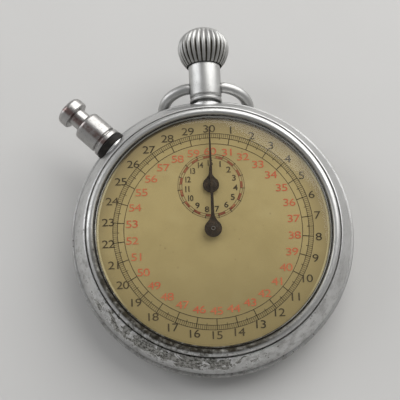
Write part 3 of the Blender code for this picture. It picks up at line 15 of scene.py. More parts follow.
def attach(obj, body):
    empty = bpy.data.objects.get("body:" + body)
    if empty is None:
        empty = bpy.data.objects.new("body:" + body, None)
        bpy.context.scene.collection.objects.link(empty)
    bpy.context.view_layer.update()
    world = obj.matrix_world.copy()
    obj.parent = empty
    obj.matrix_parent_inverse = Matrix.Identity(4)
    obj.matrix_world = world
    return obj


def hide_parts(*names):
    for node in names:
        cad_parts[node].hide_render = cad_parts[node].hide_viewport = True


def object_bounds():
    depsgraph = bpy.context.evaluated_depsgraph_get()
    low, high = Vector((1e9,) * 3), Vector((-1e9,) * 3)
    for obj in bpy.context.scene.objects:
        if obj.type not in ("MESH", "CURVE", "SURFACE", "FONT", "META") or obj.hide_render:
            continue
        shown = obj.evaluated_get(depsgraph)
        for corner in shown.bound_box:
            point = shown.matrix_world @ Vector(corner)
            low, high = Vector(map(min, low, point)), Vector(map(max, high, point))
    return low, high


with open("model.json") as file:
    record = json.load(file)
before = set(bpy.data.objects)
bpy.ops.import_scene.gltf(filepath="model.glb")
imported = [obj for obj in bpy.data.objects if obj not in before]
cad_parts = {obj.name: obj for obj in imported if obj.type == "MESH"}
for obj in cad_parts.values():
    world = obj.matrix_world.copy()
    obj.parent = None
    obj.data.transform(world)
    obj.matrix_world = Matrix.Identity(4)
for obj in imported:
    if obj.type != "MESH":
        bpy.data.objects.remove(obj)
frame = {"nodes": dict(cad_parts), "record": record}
cad_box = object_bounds()

# ---- the watch's frame ----
REST_MOUNT = next(mount for mount in frame["record"]["mounts"] if mount["name"] == "case_back_rest")
LEAN = math.asin(REST_MOUNT["axis"][1])
WATCH = Matrix.Rotation(LEAN, 4, "X") @ Matrix.Scale(0.001, 4)
TO_WATCH = WATCH.inverted()


def reach(node, direction=(1, 0, 0)):
    """How far a CAD node reaches along a direction of the watch's frame, in millimetres."""
    axis = Vector(direction).normalized()
    return max((TO_WATCH @ vertex.co).dot(axis) for vertex in frame["nodes"][node].data.vertices)


UP, DOWN, NOON, SIX = (0, 0, 1), (0, 0, -1), (0, 1, 0), (0, -1, 0)
PUSHER_PRESS = next(joint for joint in frame["record"]["behaviour"]["joints"] if joint["name"] == "pusher_press")
PUSHER_INWARD = TO_WATCH.to_3x3() @ Vector(PUSHER_PRESS["axis"])
PUSHER_ANGLE = math.atan2(-PUSHER_INWARD.y, -PUSHER_INWARD.x)
PUSHER_WAY = (math.cos(PUSHER_ANGLE), math.sin(PUSHER_ANGLE), 0)
PUSHER_BACK = (-PUSHER_WAY[0], -PUSHER_WAY[1], 0)

CASE_RADIUS = reach("case_back")
BACK_RIM_TOP = reach("case_back", UP)
BODY_TOP = reach("case_middle", UP)
BEZEL_RADIUS = reach("bezel")
BEZEL_BOTTOM = BODY_TOP + 0.04
BEZEL_CREST = BODY_TOP + 0.85       # the polished ring's highest circle, low beside the glass's upright edge
GLASS_RADIUS = reach("crystal")
GLASS_BOTTOM = -reach("crystal", DOWN)
GLASS_TOP = reach("crystal", UP)
DIAL_RADIUS = reach("dial")
DIAL_TOP = reach("dial", UP)
SUBDIAL_Y = (reach("minute_arbor", NOON) - reach("minute_arbor", SIX)) / 2
SECONDS_TIP = reach("seconds_hand", NOON)
SECONDS_HUB = reach("seconds_hand")
SECONDS_LEVEL = reach("seconds_hand", UP)
MINUTE_TIP = reach("minute_hand", NOON) - SUBDIAL_Y
MINUTE_HUB = reach("minute_hand")
MINUTE_LEVEL = reach("minute_hand", UP)
STEM_HEIGHT = (reach("pendant", UP) - reach("pendant", DOWN)) / 2
PENDANT_RADIUS = reach("pendant")
PENDANT_TOP = reach("pendant", NOON)
PENDANT_NECK_END = -reach("pendant", SIX)
CROWN_RADIUS = reach("crown") - 0.06
CROWN_TOP = reach("crown", NOON)
CROWN_BOTTOM = -reach("crown", SIX)
BOW_OUTER = reach("bow")
PUSHER_TOP = reach("pusher_button", PUSHER_WAY)
SLEEVE_TOP = reach("pusher_sleeve", PUSHER_WAY)
SLEEVE_END = -reach("pusher_sleeve", PUSHER_BACK)
WASHER_TOP = reach("pusher_washer", PUSHER_WAY)
WASHER_END = -reach("pusher_washer", PUSHER_BACK)

ALONG_STEM = Matrix.Translation((0, 0, STEM_HEIGHT)) @ Matrix.Rotation(-math.pi / 2, 4, "X")
ALONG_PUSHER = (
    Matrix.Translation((0, 0, STEM_HEIGHT))
    @ Matrix.Rotation(PUSHER_ANGLE, 4, "Z")
    @ Matrix.Rotation(math.pi / 2, 4, "Y")
)
BOW_PIVOT = 28.7    # how far up the pendant the bow's ends go in
FLUTES = 28         # round the crown
ROUND = 160         # facets round the case
SMALL_ROUND = 72    # facets round the pendant, crown stem and pusher

# ======== material recipes ========


class Recipe:
    """One material's node tree, with short calls for the nodes that the finishes share."""

    def __init__(self, name):
        self.material = bpy.data.materials.new(name)
        self.material.use_nodes = True
        self.tree = self.material.node_tree
        self.shader = self.tree.nodes["Principled BSDF"]
        place = self.add("ShaderNodeTexCoord")
        turn = self.add("ShaderNodeMapping")
        turn.inputs["Rotation"].default_value = (-LEAN, 0, 0)
        turn.inputs["Scale"].default_value = (1000, 1000, 1000)
        self.join(place.outputs["Object"], turn.inputs["Vector"])
        self.point = turn.outputs["Vector"]

    def add(self, kind, **settings):
        node = self.tree.nodes.new(kind)
        for key, value in settings.items():
            setattr(node, key, value)
        return node

    def join(self, source, target):
        self.tree.links.new(source, target)

    def feed(self, socket, value):
        if isinstance(value, bpy.types.NodeSocket):
            self.join(value, socket)
        else:
            socket.default_value = value

    def noise(self, scale, detail=3.0, roughness=0.5, vector=None, distortion=0.0):
        node = self.add("ShaderNodeTexNoise")
        self.join(vector or self.point, node.inputs["Vector"])
        node.inputs["Scale"].default_value = scale
        node.inputs["Detail"].default_value = detail
        node.inputs["Roughness"].default_value = roughness
        node.inputs["Distortion"].default_value = distortion
        return node.outputs["Fac"]

    def specks(self, scale):
        """Distance to scattered points, small at each one's middle."""
        node = self.add("ShaderNodeTexVoronoi")
        self.join(self.point, node.inputs["Vector"])
        node.inputs["Scale"].default_value = scale
        return node.outputs["Distance"]

    def stretched(self, scale, turn=(0, 0, 0)):
        node = self.add("ShaderNodeMapping")
        self.join(self.point, node.inputs["Vector"])
        node.inputs["Scale"].default_value = scale
        node.inputs["Rotation"].default_value = turn
        return node.outputs["Vector"]

    def step(self, value, low, high, to_low=0.0, to_high=1.0):
        """Maps low..high smoothly to to_low..to_high and holds outside."""
        node = self.add("ShaderNodeMapRange", interpolation_type="SMOOTHSTEP", clamp=True)
        self.join(value, node.inputs["Value"])
        for key, number in (("From Min", low), ("From Max", high), ("To Min", to_low), ("To Max", to_high)):
            node.inputs[key].default_value = number
        return node.outputs["Result"]

    def maths(self, operation, first, second=0.0):
        node = self.add("ShaderNodeMath", operation=operation)
        self.feed(node.inputs[0], first)
        self.feed(node.inputs[1], second)
        return node.outputs[0]

    def times(self, first, second):
        return self.maths("MULTIPLY", first, second)

    def plus(self, first, second):
        return self.maths("ADD", first, second)

    def minus(self, first, second):
        return self.maths("SUBTRACT", first, second)

    def most(self, first, second):
        return self.maths("MAXIMUM", first, second)

    def axes(self):
        node = self.add("ShaderNodeSeparateXYZ")
        self.join(self.point, node.inputs[0])
        return node.outputs

    def radius(self):
        """Distance from the watch's axis."""
        x, y, _ = self.axes()
        return self.maths("SQRT", self.plus(self.times(x, x), self.times(y, y)))

    def blend(self, share, first, second):
        node = self.add("ShaderNodeMix", data_type="RGBA")
        self.feed(node.inputs["Factor"], share)
        self.feed(node.inputs[6], (*first, 1.0) if isinstance(first, tuple) else first)
        self.feed(node.inputs[7], (*second, 1.0) if isinstance(second, tuple) else second)
        return node.outputs[2]

    def relief(self, height, distance, strength=1.0, under=None):
        node = self.add("ShaderNodeBump")
        node.inputs["Distance"].default_value = distance * 0.001
        node.inputs["Strength"].default_value = strength
        self.join(height, node.inputs["Height"])
        if under is not None:
            self.join(under, node.inputs["Normal"])
        return node.outputs["Normal"]

    def finish(self, colour, roughness, normal, metallic=0.0, specular=0.5):
        sockets = self.shader.inputs
        self.join(colour, sockets["Base Color"])
        self.feed(sockets["Roughness"], roughness)
        self.join(normal, sockets["Normal"])
        sockets["Metallic"].default_value = metallic
        sockets["Specular IOR Level"].default_value = specular
        return self.material


def worn_chrome(
    name,
    wear=1.0,
    tint=(0.60, 0.60, 0.59),
    shine=0.20,
    grime_bands=(),
    flaked=0.0,
    flake_top=0.0,
    seat=0.0,
    seam=0.0,
    fluted=False,
    tarnish=0.0,
):
    """Old chromium plate: satin, faintly scratched, pitted where hands wear it, with dirt held in the grooves and
    painted shade in the crown's flutes.

    Each entry of grime_bands is (height, half width): the plate darkens where the watch's own height is near that
    value. Where flaked is over 0, the plate has lifted off in jagged patches towards seven o'clock, most of all near
    flake_top.
    Inside the radius seat, old dirt lies on the lower left, and seam is the radius of a dirty line. Fluted
    darkens the crown's grooves, most near its base, and the base beside the pendant: painted shade, with some dirt
    held in the flutes. Tarnish is a reddish-brown streak along the pusher's lower side.
    """
    r = Recipe(name)
    x, y, z = r.axes()
    low_left = r.plus(r.times(x, -0.42), r.times(y, -0.91))
    handled = r.step(low_left, -16.0, 20.0, 0.15, 1.0)
    clouds = r.noise(0.16, 4.0, 0.6)
    patches = r.times(r.step(r.noise(0.55, 6.0, 0.68), 0.44, 0.66), handled)
    pit_field = r.times(r.step(r.noise(0.42, 3.0, 0.6), 0.40, 0.60), handled)
    big_pits = r.times(r.step(r.specks(1.15), 0.10, 0.24, 1.0, 0.0), pit_field)
    small_pits = r.times(r.step(r.specks(2.9), 0.08, 0.26, 1.0, 0.0), r.step(clouds, 0.40, 0.62, 0.25, 1.0))
    pits = r.most(big_pits, r.times(small_pits, 0.65))
    scores = r.step(r.noise(1.0, 2.0, 0.7, r.stretched((0.5, 9.0, 3.0), (0.3, 0.2, 0.9))), 0.60, 0.68)
    colour = r.blend(r.step(clouds, 0.3, 0.7), tint, tuple(0.84 * part for part in tint))
    colour = r.blend(r.times(patches, 0.55 * wear), colour, (0.26, 0.25, 0.235))
    colour = r.blend(r.times(pits, 0.85 * wear), colour, (0.09, 0.08, 0.065))
    rough = r.plus(r.step(clouds, 0.3, 0.7, shine, shine + 0.10), r.times(patches, 0.22 * wear))
    rough = r.plus(rough, r.plus(r.times(pits, 0.3 * wear), r.times(scores, 0.06)))
    height = r.minus(1.0, r.times(pits, wear))
    if flaked:
        jagged = r.plus(r.noise(0.50, 7.0, 0.72, distortion=0.6), r.step(low_left, 8.0, 27.0, -0.42, 0.07))
        jagged = r.plus(jagged, r.step(z, flake_top - 4.6, flake_top - 1.4, -0.22, 0.06))
        bare = r.step(jagged, 0.50, 0.53)
        edge = r.times(r.step(jagged, 0.455, 0.50), r.minus(1.0, bare))
        mottled = r.noise(1.9, 5.0, 0.75)
        metal = r.blend(r.step(mottled, 0.38, 0.58), (0.10, 0.097, 0.085), (0.47, 0.465, 0.44))
        colour = r.blend(r.times(bare, flaked), colour, metal)
        colour = r.blend(r.times(edge, 0.7 * flaked), colour, (0.80, 0.80, 0.80))
        rough = r.plus(rough, r.times(bare, 0.28 * flaked))
        height = r.minus(height, r.times(r.plus(bare, r.times(mottled, 0.5)), 0.6 * flaked))
    dirt_and_shade = None
    for level, half in grime_bands:
        band = r.step(r.maths("ABSOLUTE", r.minus(z, level)), half * 0.35, half, 1.0, 0.0)
        dirt_and_shade = band if dirt_and_shade is None else r.most(dirt_and_shade, band)
    if seat:
        dirt = r.times(r.step(r.radius(), seat - 0.05, seat + 0.35, 1.0, 0.0), r.step(low_left, 2.0, 19.0))
        dirt_and_shade = r.most(dirt_and_shade, dirt)
    if seam:
        beside = r.maths("ABSOLUTE", r.minus(r.radius(), seam))
        dirt_and_shade = r.most(dirt_and_shade, r.step(beside, 0.06, 0.13, 0.75, 0.0))
    # Painted shade on the crown: its flute grooves darken, most towards the base, and the base beside the pendant
    # darkens; the grooves also hold some dirt.
    if fluted:
        around = r.maths("ARCTAN2", r.minus(z, STEM_HEIGHT), x)
        groove = r.step(r.maths("COSINE", r.times(around, float(FLUTES))), -0.95, 0.05, 1.0, 0.0)
        low = r.step(y, CROWN_BOTTOM + 3.0, CROWN_BOTTOM + 5.4, 1.0, 0.15)
        dirt_and_shade = r.plus(r.times(groove, low), r.step(y, CROWN_BOTTOM + 2.0, CROWN_BOTTOM + 5.0, 0.30, 0.0))
    if tarnish:
        across = r.plus(r.times(x, -math.sin(PUSHER_ANGLE)), r.times(y, math.cos(PUSHER_ANGLE)))
        streak = r.times(r.step(across, -0.2, 0.5), r.step(across, 1.0, 1.5, 1.0, 0.0))
        streak = r.times(streak, r.step(r.noise(0.8, 3.0, 0.6), 0.30, 0.55, 0.35, 1.0))
        colour = r.blend(r.times(streak, tarnish), colour, (0.16, 0.085, 0.075))
    # The dark mask is dirt at the seams, seat and flutes, plus the painted shade on the crown.
    if dirt_and_shade is not None:
        dirt_and_shade = r.times(dirt_and_shade, r.step(r.noise(0.7, 4.0, 0.6), 0.25, 0.6, 0.55, 1.0))
        colour = r.blend(dirt_and_shade, colour, (0.065, 0.058, 0.045))
        rough = r.plus(rough, r.times(dirt_and_shade, 0.4))
    fine = r.relief(r.noise(7.0, 4.0, 0.6), 0.012, 0.35 + 0.4 * wear)
    return r.finish(colour, rough, r.relief(height, 0.045, 0.8, fine), metallic=1.0)


def aged_dial():
    """Cream paint gone tan, with foxing specks and faint rubs, darker towards the bottom. Painted light too: shadow
    inside the rim, heaviest under the upper rim, and the bezel's wall mirrored as a bright band at the rim's sides.
    """
    r = Recipe("aged_cream_paint")
    x, y, _ = r.axes()
    from_middle = r.radius()
    clouds = r.noise(0.09, 5.0, 0.6)
    colour = r.blend(r.step(clouds, 0.32, 0.68), (0.485, 0.388, 0.186), (0.425, 0.337, 0.154))
    # Painted shadow: the dial darkens inside its rim, most at the top, where the bezel shades it.
    edge = r.step(from_middle, 16.5, 21.9)
    rim_shadow = r.times(edge, r.step(y, -22.0, 20.0, 0.05, 0.8))
    colour = r.blend(rim_shadow, colour, (0.25, 0.198, 0.112))
    foxing = r.times(r.step(r.specks(0.62), 0.05, 0.16, 1.0, 0.0), r.step(r.noise(0.22, 3.0), 0.50, 0.66))
    colour = r.blend(r.times(foxing, 0.55), colour, (0.16, 0.095, 0.040))
    dust = r.times(r.step(r.specks(1.9), 0.05, 0.13, 1.0, 0.0), r.step(r.noise(0.6, 3.0), 0.46, 0.62))
    colour = r.blend(r.times(dust, 0.40), colour, (0.13, 0.09, 0.05))
    bleached = r.step(r.noise(0.13, 2.0, 0.5, r.stretched((1.0, 1.3, 1.0), (0, 0, 0.7))), 0.55, 0.75)
    colour = r.blend(r.times(bleached, 0.3), colour, (0.55, 0.46, 0.245))
    # Darker and browner towards the bottom of the dial.
    colour = r.blend(r.step(y, -20.0, 3.0, 0.62, 0.0), colour, (0.240, 0.192, 0.091))
    rim = r.times(r.step(from_middle, 20.9, 21.05), r.step(from_middle, 21.5, 21.6, 1.0, 0.0))
    # Painted shadow: the edge ring darkens towards the top, where the bezel shades it.
    colour = r.blend(r.times(rim, r.step(y, 3.0, 13.0, 0.0, 0.8)), colour, (0.085, 0.060, 0.030))
    # Painted reflection: at its left and right the edge ring turns bright yellow, standing for the bezel's polished
    # wall mirroring the dial.
    side_reflection = r.step(r.maths("ABSOLUTE", x), 15.0, 19.5, 0.0, 0.75)
    colour = r.blend(r.times(rim, side_reflection), colour, (0.84, 0.74, 0.45))
    relief = r.relief(r.noise(3.0, 4.0, 0.6), 0.01, 0.4)
    return r.finish(colour, r.step(clouds, 0.3, 0.7, 0.42, 0.58), relief, specular=0.35)


def printing_ink(name, dark, faded, worn_from=0.52):
    """Ink printed thinly on the dial, paler where it has rubbed."""
    r = Recipe(name)
    rubbed = r.step(r.noise(1.1, 4.0, 0.65), worn_from, worn_from + 0.2)
    broad = r.step(r.noise(0.12, 3.0), 0.4, 0.65, 0.0, 0.45)
    colour = r.blend(r.most(rubbed, broad), dark, faded)
    relief = r.relief(r.noise(9.0, 2.0), 0.004, 0.4)
    return r.finish(colour, r.step(rubbed, 0.0, 1.0, 0.45, 0.62), relief, specular=0.3)


def blackened_steel():
    """Hands coloured dark, with a thin brown bloom of rust."""
    r = Recipe("blackened_hand_steel")
    bloom = r.step(r.noise(1.6, 5.0, 0.65), 0.45, 0.7)
    colour = r.blend(bloom, (0.030, 0.021, 0.014), (0.062, 0.040, 0.024))
    relief = r.relief(r.noise(5.0, 4.0, 0.65), 0.012, 0.5)
    return r.finish(colour, r.step(bloom, 0, 1, 0.45, 0.65), relief, metallic=0.1, specular=0.25)


def watch_glass():
    """Clear glass as a mirror over a clear layer, so that the dial under it keeps its light."""
    r = Recipe("domed_watch_glass")
    slant = r.add("ShaderNodeLayerWeight")
    slant.inputs["Blend"].default_value = 0.5
    share = r.plus(r.times(r.maths("POWER", slant.outputs["Facing"], 4.0), 0.40), 0.012)
    smear = r.step(r.noise(0.12, 1.5, 0.5), 0.35, 0.75, 0.050, 0.075)
    mirror = r.add("ShaderNodeBsdfGlossy")
    mirror.inputs["Color"].default_value = (1, 1, 1, 1)
    r.join(smear, mirror.inputs["Roughness"])
    clear = r.add("ShaderNodeBsdfTransparent")
    clear.inputs["Color"].default_value = (0.985, 0.98, 0.955, 1)
    both = r.add("ShaderNodeMixShader")
    r.join(share, both.inputs[0])
    r.join(clear.outputs[0], both.inputs[1])
    r.join(mirror.outputs[0], both.inputs[2])
    output = r.tree.nodes["Material Output"]
    r.join(both.outputs[0], output.inputs["Surface"])
    r.tree.nodes.remove(r.shader)
    return r.material


def machined(name, tint, shine, bloom_tint, metallic=1.0):
    """A movement metal: fine machining marks, a slow change of tone and a little tarnish."""
    r = Recipe(name)
    marks = r.noise(1.0, 2.0, 0.6, r.stretched((14.0, 0.8, 14.0)))
    tarnish = r.step(r.noise(0.35, 5.0, 0.6), 0.45, 0.75)
    colour = r.blend(r.times(tarnish, 0.6), tint, bloom_tint)
    rough = r.plus(r.step(marks, 0.3, 0.7, shine, shine + 0.12), r.times(tarnish, 0.12))
    return r.finish(colour, rough, r.relief(marks, 0.006, 0.5), metallic=metallic)


def black_fibre():
    r = Recipe("black_fibre_washer")
    dirt = r.step(r.noise(1.3, 4.0, 0.6), 0.45, 0.7)
    colour = r.blend(dirt, (0.008, 0.007, 0.006), (0.030, 0.025, 0.020))
    return r.finish(colour, r.step(dirt, 0, 1, 0.5, 0.8), r.relief(r.noise(4.0, 4.0), 0.02, 0.6), specular=0.2)


def table_paper():
    """The pale table: a matt sheet with the slightest mottling."""
    r = Recipe("pale_table")
    mottled = r.step(r.noise(0.02, 3.0), 0.3, 0.7)
    colour = r.blend(mottled, (0.62, 0.615, 0.605), (0.605, 0.60, 0.59))
    return r.finish(colour, 0.75, r.relief(r.noise(1.2, 3.0), 0.01, 0.25), specular=0.25)


# ======== shapes ========

SHARP_OVER = 38.0   # degrees between faces above which an edge stays crisp


def fillet(outline, radius, closed=True, steps=4):
    """Rounds each corner of an outline by up to the given radius."""
    count = len(outline)
    points = []
    for index, corner in enumerate(outline):
        if not closed and index in (0, count - 1):
            points.append(Vector(corner))
            continue
        here = Vector(corner)
        before = Vector(outline[index - 1]) - here
        after = Vector(outline[(index + 1) % count]) - here
        cut = min(radius, 0.45 * before.length, 0.45 * after.length)
        start = here + before.normalized() * cut
        end = here + after.normalized() * cut
        for k in range(steps + 1):
            t = k / steps
            points.append(start * (1 - t) ** 2 + here * 2 * t * (1 - t) + end * t**2)
    return points


def solid_mesh(name, shape):
    """A bmesh with doubles merged and normals outward, as a mesh."""
    bmesh.ops.remove_doubles(shape, verts=shape.verts, dist=1e-4)
    bmesh.ops.recalc_face_normals(shape, faces=shape.faces)
    mesh = bpy.data.meshes.new(name)
    shape.to_mesh(mesh)
    shape.free()
    return mesh


def put(name, data):
    """A new object in the scene, at the origin."""
    item = bpy.data.objects.new(name, data)
    bpy.context.scene.collection.objects.link(item)
    return item


def soften(mesh, sharp_over=SHARP_OVER):
    mesh.shade_smooth()
    mesh.set_sharp_from_angle(angle=math.radians(sharp_over))


def shape_object(name, shape, material, matrix=None, sharp_over=SHARP_OVER):
    """Makes a finished object from a bmesh in the watch's millimetres."""
    return mesh_object(name, solid_mesh(name, shape), material, matrix, sharp_over)


def mesh_object(name, mesh, material, matrix=None, sharp_over=SHARP_OVER):
    mesh.transform(WATCH @ (matrix or Matrix.Identity(4)))
    mesh.materials.clear()
    mesh.materials.append(material)
    soften(mesh, sharp_over)
    return put(name, mesh)


def lathe(profile, steps, closed=True):
    """A turned bmesh about Z. An open profile starts and ends on the axis."""
    shape = bmesh.new()
    corners = [shape.verts.new((radius, 0, height)) for radius, height in profile]
    edges = [shape.edges.new(pair) for pair in zip(corners, corners[1:])]
    if closed:
        edges.append(shape.edges.new((corners[-1], corners[0])))
    bmesh.ops.spin(
        shape,
        geom=corners + edges,
        cent=(0, 0, 0),
        axis=(0, 0, 1),
        angle=math.tau,
        steps=steps,
        use_merge=True,
    )
    return shape


def turned(name, profile, material, matrix=None, steps=SMALL_ROUND, rounding=0.12, closed=True):
    return shape_object(name, lathe(fillet(profile, rounding, closed), steps, closed), material, matrix)


def tool(shape, matrix=None):
    """A throwaway solid for a Boolean, in the watch's frame carried to metres."""
    mesh = solid_mesh("tool", shape)
    mesh.transform(WATCH @ (matrix or Matrix.Identity(4)))
    return put("tool", mesh)


def round_tool(radius, low, high, matrix):
    return tool(lathe([(0, high), (radius, high), (radius, low), (0, low)], SMALL_ROUND, False), matrix)


def combined(item, *steps):
    """Applies Booleans (operation, tool) to a piece and keeps the plain result."""
    for operation, other in steps:
        modifier = item.modifiers.new(operation, "BOOLEAN")
        modifier.operation = operation
        modifier.solver = "EXACT"
        modifier.object = other
    plain = evaluated_mesh(item)
    item.modifiers.clear()
    material = item.data.materials[0]
    item.data = plain
    plain.materials.clear()
    plain.materials.append(material)
    soften(plain)
    for _, other in steps:
        bpy.data.objects.remove(other, do_unlink=True)


def evaluated_mesh(item):
    bpy.context.view_layer.update()
    graph = bpy.context.evaluated_depsgraph_get()
    return bpy.data.meshes.new_from_object(item.evaluated_get(graph))


def belongs(item, body, slot, *nodes):
    """Puts a finished piece on its body and in place of its CAD nodes. The slot is not used."""
    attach(item, body)
    if nodes:
        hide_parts(*nodes)


# ======== case ========


def make_case(chrome, back_chrome, bezel_chrome, glass):
    wall = CASE_RADIUS - 1.0
    flat_radius = CASE_RADIUS - 12.4
    dome_width, dome_height = 11.0, 2.9
    dome = [(flat_radius + dome_width * k / 12, dome_height * (k / 12) ** 2) for k in range(13)]
    rim = [
        (wall + 0.15, BACK_RIM_TOP),
        (CASE_RADIUS - 0.12, BACK_RIM_TOP - 0.04),
        (CASE_RADIUS, BACK_RIM_TOP - 0.35),
        (CASE_RADIUS, BACK_RIM_TOP - 0.85),
        (CASE_RADIUS - 0.2, BACK_RIM_TOP - 1.5),
        (CASE_RADIUS - 0.75, BACK_RIM_TOP - 2.15),
    ]
    inner = [(radius, height + 0.8) for radius, height in dome]
    profile = rim + dome[::-1] + [(0.0, 0.0), (0.0, 0.8)] + inner + [(wall, 3.9), (wall, BACK_RIM_TOP - 0.15)]
    rounded = fillet(profile[:6], 0.18, False) + profile[6:]
    back = shape_object("case_back_shell", lathe(rounded, ROUND), back_chrome)
    combined(
        back,
        ("DIFFERENCE", round_tool(PENDANT_RADIUS + 0.05, 21.0, 30.0, ALONG_STEM)),
        ("DIFFERENCE", round_tool(PENDANT_RADIUS + 0.2, 21.0, 30.0, ALONG_PUSHER)),
    )
    belongs(back, "case", "case_chrome", "case_back")

    skirt = wall - 0.2
    profile = [
        (BEZEL_RADIUS - 0.5, BODY_TOP),
        (BEZEL_RADIUS - 0.13, BODY_TOP),
        (BEZEL_RADIUS - 0.08, BODY_TOP - 0.3),
        (BEZEL_RADIUS + 0.08, BODY_TOP - 0.3),
        (BEZEL_RADIUS + 0.13, BODY_TOP),
        (BEZEL_RADIUS + 0.35, BODY_TOP - 0.03),
        (BEZEL_RADIUS + 0.62, BODY_TOP - 0.35),
        (BEZEL_RADIUS + 1.05, BODY_TOP - 1.05),
        (BEZEL_RADIUS + 1.50, BODY_TOP - 1.85),
        (BEZEL_RADIUS + 1.88, BODY_TOP - 2.60),
        (BEZEL_RADIUS + 2.18, BODY_TOP - 3.35),
        (BEZEL_RADIUS + 2.42, BODY_TOP - 4.05),
        (BEZEL_RADIUS + 2.52, BODY_TOP - 4.45),
        (BEZEL_RADIUS + 2.48, BACK_RIM_TOP + 0.16),
        (skirt, BACK_RIM_TOP + 0.12),
        (skirt, BACK_RIM_TOP - 1.6),
        (CASE_RADIUS - 4.4, BACK_RIM_TOP - 1.6),
        (CASE_RADIUS - 4.4, BODY_TOP - 0.7),
        (BEZEL_RADIUS - 0.5, BODY_TOP - 0.7),
    ]
    body = turned("case_body", profile, chrome, steps=ROUND, rounding=0.25)
    collar = [(0, 25.3), (2.72, 25.3), (2.9, 25.15), (2.9, 24.6), (3.05, 24.1), (3.4, 23.4), (3.4, 23.0), (0, 23.0)]
    combined(
        body,
        ("UNION", tool(lathe(collar, SMALL_ROUND, False), ALONG_STEM)),
        ("UNION", round_tool(PENDANT_RADIUS - 0.15, CASE_RADIUS - 3.25, WASHER_END + 0.4, ALONG_PUSHER)),
        ("DIFFERENCE", round_tool(PENDANT_RADIUS - 1.07, 20.0, 30.0, ALONG_STEM)),
        ("DIFFERENCE", round_tool(PENDANT_RADIUS + 0.13, WASHER_END - 0.08, 30.0, ALONG_PUSHER)),
        ("DIFFERENCE", round_tool(2.1, 19.5, 31.0, ALONG_PUSHER)),
    )
    belongs(body, "case", "case_chrome", "case_middle")

    seat, ledge = GLASS_RADIUS + 0.08, GLASS_RADIUS - 0.32
    profile = [
        (seat, BEZEL_CREST - 0.42),
        (seat + 0.12, BEZEL_CREST - 0.16),
        (seat + 0.45, BEZEL_CREST),
        (BEZEL_RADIUS - 0.72, BEZEL_CREST - 0.02),
        (BEZEL_RADIUS - 0.34, BEZEL_CREST - 0.17),
        (BEZEL_RADIUS - 0.12, BEZEL_CREST - 0.46),
        (BEZEL_RADIUS - 0.12, BEZEL_BOTTOM + 0.08),
        (BEZEL_RADIUS - 0.24, BEZEL_BOTTOM),
        (ledge - 0.18, BEZEL_BOTTOM),
        (ledge, BEZEL_BOTTOM + 0.22),
        (seat, BEZEL_BOTTOM + 0.24),
    ]
    bezel = turned("polished_bezel", profile, bezel_chrome, steps=ROUND, rounding=0.14)
    belongs(bezel, "case", "case_chrome", "bezel")

    shoulder = GLASS_RADIUS - 0.55
    edge_top = GLASS_BOTTOM + 0.95
    rise = GLASS_TOP - edge_top
    rings = [shoulder * k / 14 for k in range(15)]
    outer = [(radius, GLASS_TOP - (rise - 0.3) * (radius / shoulder) ** 2) for radius in rings]
    inner = [(radius * 0.992, height - 0.72) for radius, height in outer]
    edge = [
        (shoulder + 0.3, edge_top + 0.12),
        (GLASS_RADIUS - 0.08, edge_top - 0.12),
        (GLASS_RADIUS, edge_top - 0.3),
        (GLASS_RADIUS, BEZEL_BOTTOM + 0.34),
        (GLASS_RADIUS - 0.1, BEZEL_BOTTOM + 0.28),
        (shoulder - 0.02, BEZEL_BOTTOM + 0.28),
    ]
    profile = outer + edge + inner[::-1]
    crystal = shape_object("domed_glass", lathe(profile, ROUND, False), glass)
    belongs(crystal, "case", "watch_glass", "crystal")


def make_glass_seat(dirt):
    """The dark line between the glass and the bezel: old cement and dirt, with painted shade of the gap between them.
    """
    inner, outer = GLASS_RADIUS - 0.20, GLASS_RADIUS + 0.06
    low = BEZEL_CREST - 0.50
    profile = [(inner, low + 0.10), (outer, low + 0.06), (outer, low - 0.06), (inner, low + 0.03)]
    # Painted shade: the near-black ring stands partly for the shadow in the gap beside the glass.
    ring = shape_object("glass_seat_line", lathe(profile, ROUND), dirt)
    belongs(ring, "case", "black_washer")


# ======== pendant, bow and crown ========


def make_pendant(chrome):
    foot, mouth_end = 25.8, 29.5
    mouth, bore = 1.6, 0.9
    profile = [
        (mouth, PENDANT_TOP),
        (PENDANT_RADIUS - 0.25, PENDANT_TOP),
        (PENDANT_RADIUS, PENDANT_TOP - 0.25),
        (PENDANT_RADIUS, foot + 1.15),
        (PENDANT_RADIUS - 0.16, foot + 1.0),
        (PENDANT_RADIUS - 0.34, foot + 0.92),
        (PENDANT_RADIUS - 0.34, foot + 0.72),
        (PENDANT_RADIUS - 0.14, foot + 0.62),
        (PENDANT_RADIUS, foot + 0.45),
        (PENDANT_RADIUS, foot + 0.15),
        (PENDANT_RADIUS - 0.15, foot),
        (PENDANT_RADIUS - 1.17, foot),
        (PENDANT_RADIUS - 1.17, PENDANT_NECK_END),
        (bore, PENDANT_NECK_END),
        (bore, mouth_end),
        (mouth, mouth_end),
    ]
    pendant = turned("pendant_tube", profile, chrome, ALONG_STEM, rounding=0.1)
    ends = []
    for side in (1, -1):
        across = Matrix.Translation((0, BOW_PIVOT, STEM_HEIGHT)) @ Matrix.Rotation(side * math.pi / 2, 4, "Y")
        ends.append(("DIFFERENCE", round_tool(0.95, 2.1, PENDANT_RADIUS + 1.0, across)))
    combined(pendant, *ends)
    belongs(pendant, "case", "case_chrome", "pendant")


